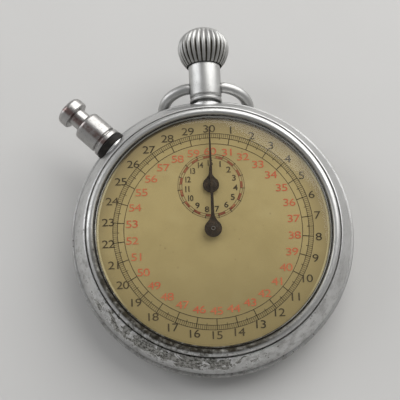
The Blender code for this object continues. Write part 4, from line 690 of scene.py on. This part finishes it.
def bow_route():
    """Points (across, away from the pivot) along the bow, and the wire's radius at each."""
    wire, half_width, shoulder, far, squareness = 1.085, BOW_OUTER - 1.1, 6.0, 7.8, 2.5
    power = 2 / squareness
    neck = PENDANT_RADIUS + 0.55
    rise = shoulder / (1 - (neck / half_width) ** squareness) ** (1 / squareness)
    first = math.asin((neck / half_width) ** (1 / power))
    half = [(2.3, 0.0, 0.85), (PENDANT_RADIUS - 0.02, 0.0, 0.85), (PENDANT_RADIUS + 0.04, 0.0, 1.04)]
    steps = 22
    for k in range(steps + 1):
        t = first + (math.pi / 2 - first) * k / steps
        thick = wire - 0.03 * (1 - k / steps) ** 3
        half.append((half_width * math.sin(t) ** power, shoulder - rise * math.cos(t) ** power, thick))
    for k in range(1, steps + 1):
        s = math.pi / 2 * k / steps
        half.append((half_width * math.cos(s), shoulder + far * math.sin(s), wire))
    return half + [(-x, away, thick) for x, away, thick in half[-2::-1]]


def make_bow(chrome):
    fold = math.radians(48.0)
    curve = bpy.data.curves.new("bow_route", "CURVE")
    curve.dimensions = "3D"
    curve.bevel_depth = 1.0
    curve.bevel_resolution = 10
    curve.use_fill_caps = True
    route = bow_route()
    spline = curve.splines.new("POLY")
    spline.points.add(len(route) - 1)
    for point, (across, away, thick) in zip(spline.points, route):
        point.co = (across, BOW_PIVOT - away * math.cos(fold), STEM_HEIGHT - away * math.sin(fold), 1.0)
        point.radius = thick
    guide = put("bow_route", curve)
    mesh = evaluated_mesh(guide)
    bpy.data.objects.remove(guide, do_unlink=True)
    shape = bmesh.new()
    shape.from_mesh(mesh)
    bow = shape_object("wire_bow", shape, chrome)
    belongs(bow, "bow", "case_chrome", "bow")


def new_tree(name, inputs, output):
    """A Geometry Nodes tree with named inputs and one output, and the sockets that the inputs come in by."""
    tree = bpy.data.node_groups.new(name, "GeometryNodeTree")
    for label, kind in inputs:
        tree.interface.new_socket(label, in_out="INPUT", socket_type="NodeSocket" + kind)
    tree.interface.new_socket(output, in_out="OUTPUT", socket_type="NodeSocketGeometry")
    return tree, tree.nodes.new("NodeGroupInput").outputs


def calculator(tree):
    """A short call for the tree's maths nodes."""

    def maths(operation, first, second=0.0):
        node = tree.nodes.new("ShaderNodeMath")
        node.operation = operation
        for socket, value in zip(node.inputs, (first, second)):
            if isinstance(value, bpy.types.NodeSocket):
                tree.links.new(value, socket)
            else:
                socket.default_value = value
        return node.outputs[0]

    return maths


def end_tree(tree, mesh, material):
    """Makes a tree's instances real and sets their material."""
    real = tree.nodes.new("GeometryNodeRealizeInstances")
    paint = tree.nodes.new("GeometryNodeSetMaterial")
    tree.links.new(mesh, real.inputs[0])
    tree.links.new(real.outputs[0], paint.inputs["Geometry"])
    tree.links.new(material, paint.inputs["Material"])
    tree.links.new(paint.outputs[0], tree.nodes.new("NodeGroupOutput").inputs[0])
    return tree


def flute_tree():
    """Geometry Nodes that press rounded flutes into a turned ball: deepest at its waist, none at its pole."""
    inputs = (
        ("Ball", "Geometry"),
        ("Flutes", "Float"),
        ("Depth", "Float"),
        ("Waist height", "Float"),
        ("Reach above", "Float"),
        ("Reach below", "Float"),
        ("Least radius", "Float"),
        ("Finish", "Material"),
    )
    tree, given = new_tree("crown_flutes", inputs, "Fluted ball")
    nodes, links = tree.nodes, tree.links
    maths = calculator(tree)
    place = nodes.new("GeometryNodeInputPosition")
    split = nodes.new("ShaderNodeSeparateXYZ")
    links.new(place.outputs[0], split.inputs[0])
    x, y, z = split.outputs
    around = maths("ARCTAN2", y, x)
    wave = maths("COSINE", maths("MULTIPLY", around, given["Flutes"]))
    ridge = maths("POWER", maths("MULTIPLY", maths("ADD", wave, 1.0), 0.5), 0.6)
    groove = maths("SUBTRACT", 1.0, ridge)
    rise = maths("SUBTRACT", z, given["Waist height"])
    above = maths("DIVIDE", maths("MAXIMUM", rise, 0.0), given["Reach above"])
    below = maths("DIVIDE", maths("MAXIMUM", maths("MULTIPLY", rise, -1.0), 0.0), given["Reach below"])
    fade = maths("SUBTRACT", 1.0, maths("POWER", maths("ADD", above, below), 3.0))
    radius = maths("SQRT", maths("ADD", maths("MULTIPLY", x, x), maths("MULTIPLY", y, y)))
    outside = maths("MULTIPLY", maths("SUBTRACT", radius, given["Least radius"]), 1.6)
    kept = maths("MINIMUM", maths("MAXIMUM", outside, 0.0), 1.0)
    depth = maths("MULTIPLY", maths("MULTIPLY", groove, given["Depth"]), kept)
    depth = maths("MULTIPLY", depth, maths("MAXIMUM", fade, 0.0))
    share = maths("DIVIDE", depth, maths("MAXIMUM", radius, 0.01))
    flat_point = nodes.new("ShaderNodeCombineXYZ")
    links.new(x, flat_point.inputs[0])
    links.new(y, flat_point.inputs[1])
    scaled = nodes.new("ShaderNodeVectorMath")
    scaled.operation = "SCALE"
    links.new(flat_point.outputs[0], scaled.inputs[0])
    links.new(maths("MULTIPLY", share, -1.0), scaled.inputs["Scale"])
    move = nodes.new("GeometryNodeSetPosition")
    links.new(given["Ball"], move.inputs["Geometry"])
    links.new(scaled.outputs[0], move.inputs["Offset"])
    return end_tree(tree, move.outputs[0], given["Finish"])


def socket_key(tree, name):
    return next(item.identifier for item in tree.interface.items_tree if item.name == name)


def built(item, tree, sizes):
    """Runs a Geometry Nodes tree on an object with its named sizes and returns the plain mesh."""
    step = item.modifiers.new(tree.name, "NODES")
    step.node_group = tree
    for name, value in sizes.items():
        step[socket_key(tree, name)] = value
    mesh = evaluated_mesh(item)
    bpy.data.objects.remove(item, do_unlink=True)
    return mesh


def make_crown(chrome):
    widest = CROWN_BOTTOM + 3.8
    rise, drop = CROWN_TOP - widest, widest - CROWN_BOTTOM
    mouth = 3.4
    profile = []
    for k in range(23):
        t = math.pi / 2 * k / 22
        profile.append((CROWN_RADIUS * math.sin(t), widest + rise * math.cos(t)))
    last = math.acos(mouth / CROWN_RADIUS)
    for k in range(1, 17):
        t = last * k / 16
        profile.append((CROWN_RADIUS * math.cos(t), widest - drop * math.sin(t) / math.sin(last)))
    profile += [(mouth - 0.06, CROWN_BOTTOM), (mouth - 0.1, CROWN_BOTTOM + 2.6), (0.9, CROWN_BOTTOM + 2.6)]
    profile += [(0.9, widest + 1.2), (0.0, widest + 1.2)]
    blank = put("crown_blank", solid_mesh("crown_blank", lathe(profile, 8 * FLUTES, False)))
    sizes = {
        "Flutes": float(FLUTES),
        "Depth": 0.42,
        "Waist height": widest,
        "Reach above": rise,
        "Reach below": drop * 1.05,
        "Least radius": mouth + 0.02,
        "Finish": chrome,
    }
    mesh = built(blank, flute_tree(), sizes)
    crown = mesh_object("fluted_crown", mesh, chrome, ALONG_STEM, 50.0)
    belongs(crown, "crown", "case_chrome", "crown")


# ======== side pusher ========


def make_pusher(chrome, fibre):
    head, neck, stem = 2.85, 1.8, 0.9
    head_bottom, neck_end, stem_end = PUSHER_TOP - 2.5, 29.0, 20.0
    button = [
        (0.0, PUSHER_TOP),
        (head - 1.1, PUSHER_TOP - 0.04),
        (head - 0.5, PUSHER_TOP - 0.14),
        (head - 0.12, PUSHER_TOP - 0.45),
        (head, PUSHER_TOP - 0.85),
        (head, head_bottom + 0.35),
        (head - 0.15, head_bottom + 0.1),
        (head - 0.45, head_bottom),
        (neck, head_bottom),
        (neck, neck_end),
        (stem, neck_end),
        (stem, stem_end),
        (0.0, stem_end),
    ]
    piece = turned("pusher_head", button, chrome, ALONG_PUSHER, rounding=0.16, closed=False)
    belongs(piece, "pusher", "case_chrome", "pusher_button")
    body, bore, hole = 2.9, 1.9, 1.0
    flange, bore_floor = WASHER_TOP + 0.1, 25.9
    sleeve = [
        (bore, SLEEVE_TOP),
        (body - 0.55, SLEEVE_TOP),
        (body - 0.12, SLEEVE_TOP - 0.3),
        (body, SLEEVE_TOP - 0.7),
        (body, flange + 1.42),
        (body - 0.12, flange + 1.32),
        (body - 0.38, flange + 1.24),
        (body - 0.38, flange + 1.04),
        (body - 0.05, flange + 0.94),
        (body + 0.12, flange + 0.80),
        (body + 0.12, flange + 0.10),
        (body, flange),
        (2.0, flange),
        (2.0, SLEEVE_END),
        (hole, SLEEVE_END),
        (hole, bore_floor),
        (bore, bore_floor),
    ]
    piece = turned("pusher_tube", sleeve, chrome, ALONG_PUSHER, rounding=0.12)
    belongs(piece, "case", "case_chrome", "pusher_sleeve")
    inner, outer = 2.1, PENDANT_RADIUS
    washer = [(inner, WASHER_TOP), (outer, WASHER_TOP), (outer, WASHER_END), (inner, WASHER_END)]
    piece = turned("pusher_fibre_washer", washer, fibre, ALONG_PUSHER, rounding=0.15)
    belongs(piece, "case", "black_washer", "pusher_washer")


# ======== dial ========

INK_THICKNESS = 0.02
INK_BOTTOM = DIAL_TOP + 0.01
TRACK_OUTER, TRACK_MIDDLE, TRACK_INNER = 18.33, 17.50, 16.32
SUBDIAL_RINGS = (6.12, 5.80, 5.38)
DIAL_TURN = math.radians(-0.65)     # the dial sits turned a little in its case


def tick_tree():
    """Geometry Nodes that set equal bars round a circle, each pointing at its centre."""
    inputs = (
        ("Seed mesh", "Geometry"),
        ("Count", "Int"),
        ("Inner radius", "Float"),
        ("Outer radius", "Float"),
        ("Width", "Float"),
        ("Thickness", "Float"),
        ("Ink", "Material"),
    )
    tree, given = new_tree("ring_of_ticks", inputs, "Ticks")
    nodes, links = tree.nodes, tree.links
    maths = calculator(tree)
    total = maths("ADD", given["Inner radius"], given["Outer radius"])
    length = maths("SUBTRACT", given["Outer radius"], given["Inner radius"])
    circle = nodes.new("GeometryNodeMeshCircle")
    links.new(given["Count"], circle.inputs["Vertices"])
    links.new(maths("MULTIPLY", total, 0.5), circle.inputs["Radius"])
    size = nodes.new("ShaderNodeCombineXYZ")
    links.new(length, size.inputs[0])
    links.new(given["Width"], size.inputs[1])
    links.new(given["Thickness"], size.inputs[2])
    bar = nodes.new("GeometryNodeMeshCube")
    links.new(size.outputs[0], bar.inputs["Size"])
    index = nodes.new("GeometryNodeInputIndex")
    angle = maths("MULTIPLY", maths("DIVIDE", index.outputs[0], given["Count"]), math.tau)
    turn = nodes.new("ShaderNodeCombineXYZ")
    links.new(angle, turn.inputs[2])
    spread = nodes.new("GeometryNodeInstanceOnPoints")
    links.new(circle.outputs["Mesh"], spread.inputs["Points"])
    links.new(bar.outputs["Mesh"], spread.inputs["Instance"])
    links.new(turn.outputs[0], spread.inputs["Rotation"])
    return end_tree(tree, spread.outputs[0], given["Ink"])


def ring_of_ticks(tree, count, inner, outer, width, ink):
    seed = put("tick_seed", bpy.data.meshes.new("tick_seed"))
    sizes = {
        "Count": count,
        "Inner radius": inner,
        "Outer radius": outer,
        "Width": width,
        "Thickness": INK_THICKNESS,
        "Ink": ink,
    }
    mesh = built(seed, tree, sizes)
    mesh.transform(Matrix.Rotation(math.pi / 2, 4, "Z"))
    return mesh


def printed_ring(radius, width, steps=ROUND):
    low, high = -INK_THICKNESS / 2, INK_THICKNESS / 2
    inner, outer = radius - width / 2, radius + width / 2
    return solid_mesh("print", lathe([(outer, high), (outer, low), (inner, low), (inner, high)], steps))


def numeral(text, height, broad, closeness, weight=0.0):
    """One printed number, centred on its own middle, with the given digit height.

    Broad widens it, closeness sets the digits' spacing and weight thickens the strokes.
    """
    words = bpy.data.curves.new("numeral", "FONT")
    words.body = text
    words.align_x = "CENTER"
    words.extrude = INK_THICKNESS / 2
    words.resolution_u = 4
    words.offset = weight
    words.space_character = closeness
    item = put("numeral", words)
    mesh = evaluated_mesh(item)
    bpy.data.objects.remove(item, do_unlink=True)
    lows = [min(v.co[axis] for v in mesh.vertices) for axis in range(3)]
    highs = [max(v.co[axis] for v in mesh.vertices) for axis in range(3)]
    scale = height / (highs[1] - lows[1])
    middle = Vector((lows[0] + highs[0], lows[1] + highs[1], 0)) / -2
    mesh.transform(Matrix.Diagonal((scale * broad, scale, 1, 1)) @ Matrix.Translation(middle))
    return mesh


def red_block(inner, outer, start, end, steps=6):
    """One curved block of the sub-dial's rail."""
    shape = bmesh.new()
    half = INK_THICKNESS / 2
    columns = []
    for k in range(steps + 1):
        angle = start + (end - start) * k / steps
        way = Vector((math.sin(angle), math.cos(angle), 0))
        corners = [(inner, -half), (outer, -half), (outer, half), (inner, half)]
        columns.append([shape.verts.new(way * radius + Vector((0, 0, z))) for radius, z in corners])
    for first, second in zip(columns, columns[1:]):
        for a in range(4):
            b = (a + 1) % 4
            shape.faces.new((first[a], first[b], second[b], second[a]))
    shape.faces.new(columns[0][::-1])
    shape.faces.new(columns[-1])
    return solid_mesh("print", shape)


def printed(name, parts, ink, level=0):
    """Joins (mesh, centre, place from that centre) rows into one print. Prints of a higher level lie a little higher.

    Each print is turned about its own centre as the dial is.
    """
    shape = bmesh.new()
    height = INK_BOTTOM + INK_THICKNESS / 2 + 0.008 * level
    turn = Matrix.Rotation(DIAL_TURN, 4, "Z")
    for mesh, centre, place in parts:
        mesh.transform(Matrix.Translation((*centre, height)) @ turn @ Matrix.Translation((*place, 0)))
        shape.from_mesh(mesh)
        bpy.data.meshes.remove(mesh)
    mesh = bpy.data.meshes.new(name)
    shape.to_mesh(mesh)
    shape.free()
    item = mesh_object(name, mesh, ink)
    belongs(item, "case", "dial_paint")


def clock_place(radius, share):
    """A place on a dial, from its middle, where the share runs clockwise from 0 at the top to 1."""
    angle = math.tau * share
    return (radius * math.sin(angle), radius * math.cos(angle))


def make_dial(paint, black, red, rust, brown):
    bottom = DIAL_TOP - 0.45
    profile = [
        (0.55, DIAL_TOP),
        (DIAL_RADIUS - 0.1, DIAL_TOP),
        (DIAL_RADIUS, DIAL_TOP - 0.1),
        (DIAL_RADIUS, bottom),
        (0.55, bottom),
    ]
    plate = shape_object("dial_plate", lathe(profile, ROUND), paint)
    minute_axis = Matrix.Translation((0, SUBDIAL_Y, 0))
    combined(plate, ("DIFFERENCE", round_tool(0.5, DIAL_TOP - 2, DIAL_TOP + 2, minute_axis)))
    belongs(plate, "case", "dial_paint", "dial")

    ticks = tick_tree()
    middle, centred = (0.0, 0.0), (0.0, 0.0)
    small = (0.03, SUBDIAL_Y - 0.10)        # the sub-dial is printed a little off its arbor
    rows = (
        (300, TRACK_MIDDLE, TRACK_OUTER, 0.060, middle),
        (60, TRACK_MIDDLE - 0.34, TRACK_OUTER, 0.10, middle),
        (30, TRACK_INNER, TRACK_OUTER + 0.06, 0.145, middle),
        (15, SUBDIAL_RINGS[2], SUBDIAL_RINGS[0] + 0.14, 0.12, small),
    )
    bars = [
        (ring_of_ticks(ticks, count, inner, outer, width, black), centre, centred)
        for count, inner, outer, width, centre in rows
    ]
    printed("track_ticks", bars, black, 1)
    circles = (TRACK_OUTER, TRACK_MIDDLE, TRACK_INNER)
    printed("track_rings", [(printed_ring(radius, 0.105), middle, centred) for radius in circles], black)
    circles = [(printed_ring(radius, 0.09, 96), small, centred) for radius in SUBDIAL_RINGS]
    printed("sub_dial_rings", circles, brown)
    blocks = []
    for minute in range(15):
        start = math.tau * (minute + 0.45) / 15
        end = math.tau * (minute + 0.99) / 15
        blocks.append((red_block(SUBDIAL_RINGS[2], SUBDIAL_RINGS[1], start, end), small, centred))
    printed("sub_dial_half_minute_blocks", blocks, rust, 2)

    outer = [(numeral(str(n), 1.42, 1.28, 0.90), middle, clock_place(19.28, n / 30)) for n in range(1, 31)]
    minutes = []
    for n in range(1, 16):
        broad, radius = (1.15, 4.50) if n < 10 else (0.90, 4.42)
        minutes.append((numeral(str(n), 1.12, broad, 0.80, 0.012), small, clock_place(radius, n / 15)))
    printed("black_numerals", outer + minutes, black, 3)
    inner = [(numeral(str(n + 30), 1.38, 1.34, 0.88), middle, clock_place(14.90, n / 30)) for n in range(1, 31)]
    printed("red_numerals", inner, red, 3)


# ======== hands ========


def hand_outline(hub, tip, neck_end, shaft, point):
    """Half of a hand's outline, from under the hub round to the tip: a round hub, a hollow neck, a long taper."""
    leave = math.radians(48)
    outline = []
    steps = 26
    for k in range(steps + 1):
        angle = -math.pi / 2 + (math.pi / 2 + leave) * k / steps
        outline.append((hub * math.cos(angle), hub * math.sin(angle)))
    start_half, start_y = outline[-1]
    for k in range(1, 11):
        t = k / 10
        outline.append((shaft + (start_half - shaft) * (1 - t) ** 2.4, start_y + (neck_end - start_y) * t))
    outline.append((shaft + (point - shaft) * 0.45, neck_end + (tip - neck_end) * 0.5))
    outline.append((point, tip - 0.25))
    return outline


def make_hand(name, hub, tip, neck_end, shaft, point, top, place, material, body, *nodes):
    """A stamped hand with softened edges, its hub pressed up into a low dome round a riveted pipe."""
    right = hand_outline(hub, tip, neck_end, shaft, point)
    ring = right + [(0.0, tip)] + [(-x, y) for x, y in right[:0:-1]]
    thickness = 0.22
    shape = bmesh.new()
    levels = ((0.0, -thickness), (0.0, -0.06), (0.05, 0.0))
    loops = []
    for inset, z in levels:
        loop = []
        for x, y in ring:
            base = Vector((0, 0 if y < hub * 0.75 else max(-hub + inset, min(tip - inset, y)), 0))
            away = Vector((x, y, 0)) - base
            shrink = max(0.0, 1 - inset / away.length) if away.length > 1e-6 else 1.0
            spot = base + away * shrink
            loop.append(shape.verts.new((spot.x, spot.y, z)))
        loops.append(loop)
    count = len(ring)
    for lower, upper in zip(loops, loops[1:]):
        for k in range(count):
            n = (k + 1) % count
            shape.faces.new((lower[k], lower[n], upper[n], upper[k]))
    shape.faces.new(loops[0][::-1])
    shape.faces.new(loops[-1])
    bmesh.ops.triangulate(shape, faces=[face for face in shape.faces if len(face.verts) > 4])
    pipe = lathe(((0.0, 0.16), (0.30, 0.15), (0.42, 0.05), (0.46, -0.02), (0.0, -0.02)), 32, False)
    boss = lathe(((0.0, 0.05), (hub * 0.62, 0.045), (hub * 0.72, 0.0), (0.0, -0.02)), 48, False)
    for extra in (pipe, boss):
        mesh = solid_mesh("hub", extra)
        shape.from_mesh(mesh)
        bpy.data.meshes.remove(mesh)
    pressed_on = Matrix.Translation((place[0], place[1], top)) @ Matrix.Rotation(DIAL_TURN, 4, "Z")
    item = shape_object(name, shape, material, pressed_on, 30.0)
    belongs(item, body, "hand_steel", *nodes)


def make_hands(steel):
    make_hand(
        "seconds_pointer", SECONDS_HUB, SECONDS_TIP, 3.2, 0.30, 0.12, SECONDS_LEVEL, (0, 0), steel,
        "seconds", "seconds_hand",
    )
    make_hand(
        "minute_pointer", MINUTE_HUB, MINUTE_TIP, 2.7, 0.26, 0.05, MINUTE_LEVEL, (0, SUBDIAL_Y), steel,
        "minutes", "minute_hand",
    )


# ======== movement: the CAD pieces keep their meshes ========


def finish_movement(brass, steel, spring, ruby):
    by_slot = {
        "movement_brass": brass,
        "movement_steel": steel,
        "spring_steel": spring,
        "ruby": ruby,
    }
    for row in frame["record"]["subparts"]:
        if row["material_slot"] in by_slot:
            mesh = frame["nodes"][row["node"]].data
            mesh.materials.clear()
            mesh.materials.append(by_slot[row["material_slot"]])


# ======== table, light and camera ========


def make_table():
    floor_height = cad_box[0].z - 0.0001
    half_side = 3.0
    mesh = bpy.data.meshes.new("table")
    shape = bmesh.new()
    bmesh.ops.create_grid(shape, x_segments=2, y_segments=2, size=half_side)
    shape.to_mesh(mesh)
    shape.free()
    mesh.transform(Matrix.Translation((0, 0, floor_height)))
    mesh.materials.append(table_paper())
    table = put("table", mesh)


def soft_box(name, place, size, watts, tint):
    """An area light in metres, turned to the watch."""
    lamp = bpy.data.lights.new(name, "AREA")
    lamp.shape = "RECTANGLE"
    lamp.size, lamp.size_y = size
    lamp.energy = watts
    lamp.color = tint
    item = put(name, lamp)
    item.location = place
    item.rotation_euler = (-Vector(place)).to_track_quat("-Z", "Y").to_euler()


def make_room():
    """A pale room, brightest at the horizon and below and dimmer overhead, so that round metal has tones to mirror."""
    world = bpy.data.worlds.new("pale_room")
    bpy.context.scene.world = world
    world.use_nodes = True
    tree = world.node_tree
    background = tree.nodes["Background"]
    place = tree.nodes.new("ShaderNodeTexCoord")
    split = tree.nodes.new("ShaderNodeSeparateXYZ")
    tree.links.new(place.outputs["Generated"], split.inputs[0])
    ramp = tree.nodes.new("ShaderNodeValToRGB")
    tree.links.new(split.outputs[2], ramp.inputs[0])
    first, last = ramp.color_ramp.elements      # they stand at 0 and 1
    first.color, last.color = (0.50, 0.50, 0.50, 1), (0.26, 0.26, 0.26, 1)
    for position, grey in ((0.10, 0.42), (0.50, 0.36), (0.82, 0.20)):
        ramp.color_ramp.elements.new(position).color = (grey, grey, grey, 1)
    tree.links.new(ramp.outputs[0], background.inputs[0])
    background.inputs[1].default_value = 1.12
    soft_box("window", (0.34, 0.42, 0.42), (0.80, 0.80), 5.5, (1.0, 0.995, 0.98))
    soft_box("side_window", (-0.60, 0.22, 0.36), (0.30, 0.70), 1.6, (0.97, 0.98, 1.0))


def make_camera():
    """The camera's place and turn come from the dial's middle, in the watch's frame."""
    turn = (
        Matrix.Rotation(math.radians(-13.788), 4, "X")
        @ Matrix.Rotation(math.radians(0.14), 4, "Y")
        @ Matrix.Rotation(math.radians(2.14) - DIAL_TURN, 4, "Z")
    )
    dial_to_camera = Matrix.Translation((2.422, -5.399, -197.183)) @ turn
    pose = WATCH @ Matrix.Translation((0, 0, DIAL_TOP)) @ dial_to_camera.inverted()
    lens = bpy.data.cameras.new("camera")
    lens.lens = 97.2
    lens.sensor_width = 36.0
    lens.clip_start = 0.01
    lens.clip_end = 20.0
    camera = put("camera", lens)
    camera.location = pose.to_translation()
    camera.rotation_euler = pose.to_3x3().normalized().to_euler()
    bpy.context.scene.camera = camera


def main():
    bpy.context.scene.view_settings.view_transform = "Standard"
    back_seam, bezel_foot = ((BACK_RIM_TOP + 0.08, 0.24),), ((BEZEL_BOTTOM, 0.26),)
    body_chrome = worn_chrome(
        "body_chrome", 1.0, (0.62, 0.62, 0.615), 0.32, back_seam, 1.0, BODY_TOP, seam=BEZEL_RADIUS
    )
    back_chrome = worn_chrome("back_chrome", 1.0, (0.48, 0.48, 0.475), 0.34, flaked=0.35, flake_top=BACK_RIM_TOP)
    bezel_chrome = worn_chrome(
        "bezel_chrome", 0.6, (0.56, 0.56, 0.55), 0.31, bezel_foot, 0.8, BEZEL_CREST, GLASS_RADIUS + 0.80
    )
    pendant_chrome = worn_chrome("pendant_chrome", 0.8, (0.53, 0.53, 0.52), 0.36)
    crown_chrome = worn_chrome("crown_chrome", 0.6, (0.50, 0.50, 0.49), 0.36, fluted=True)
    pusher_chrome = worn_chrome("pusher_chrome", 1.2, (0.46, 0.45, 0.44), 0.24, tarnish=0.8)
    make_case(body_chrome, back_chrome, bezel_chrome, watch_glass())
    fibre = black_fibre()
    make_glass_seat(fibre)
    make_pendant(pendant_chrome)
    make_bow(pendant_chrome)
    make_crown(crown_chrome)
    make_pusher(pusher_chrome, fibre)
    black = printing_ink("black_dial_ink", (0.045, 0.034, 0.020), (0.15, 0.11, 0.055))
    red = printing_ink("red_dial_ink", (0.60, 0.125, 0.065), (0.66, 0.28, 0.13))
    rust = printing_ink("rust_dial_ink", (0.22, 0.055, 0.028), (0.40, 0.17, 0.08), 0.46)
    brown = printing_ink("brown_dial_ink", (0.10, 0.060, 0.035), (0.28, 0.18, 0.09))
    make_dial(aged_dial(), black, red, rust, brown)
    make_hands(blackened_steel())
    finish_movement(
        machined("matt_brass", (0.70, 0.53, 0.23), 0.28, (0.42, 0.30, 0.14)),
        machined("machined_steel", (0.55, 0.55, 0.56), 0.24, (0.38, 0.36, 0.34)),
        machined("blued_spring", (0.05, 0.06, 0.14), 0.22, (0.10, 0.07, 0.09)),
        machined("ruby", (0.45, 0.02, 0.06), 0.08, (0.30, 0.01, 0.04), metallic=0.0),
    )
    make_table()
    make_room()
    make_camera()


main()
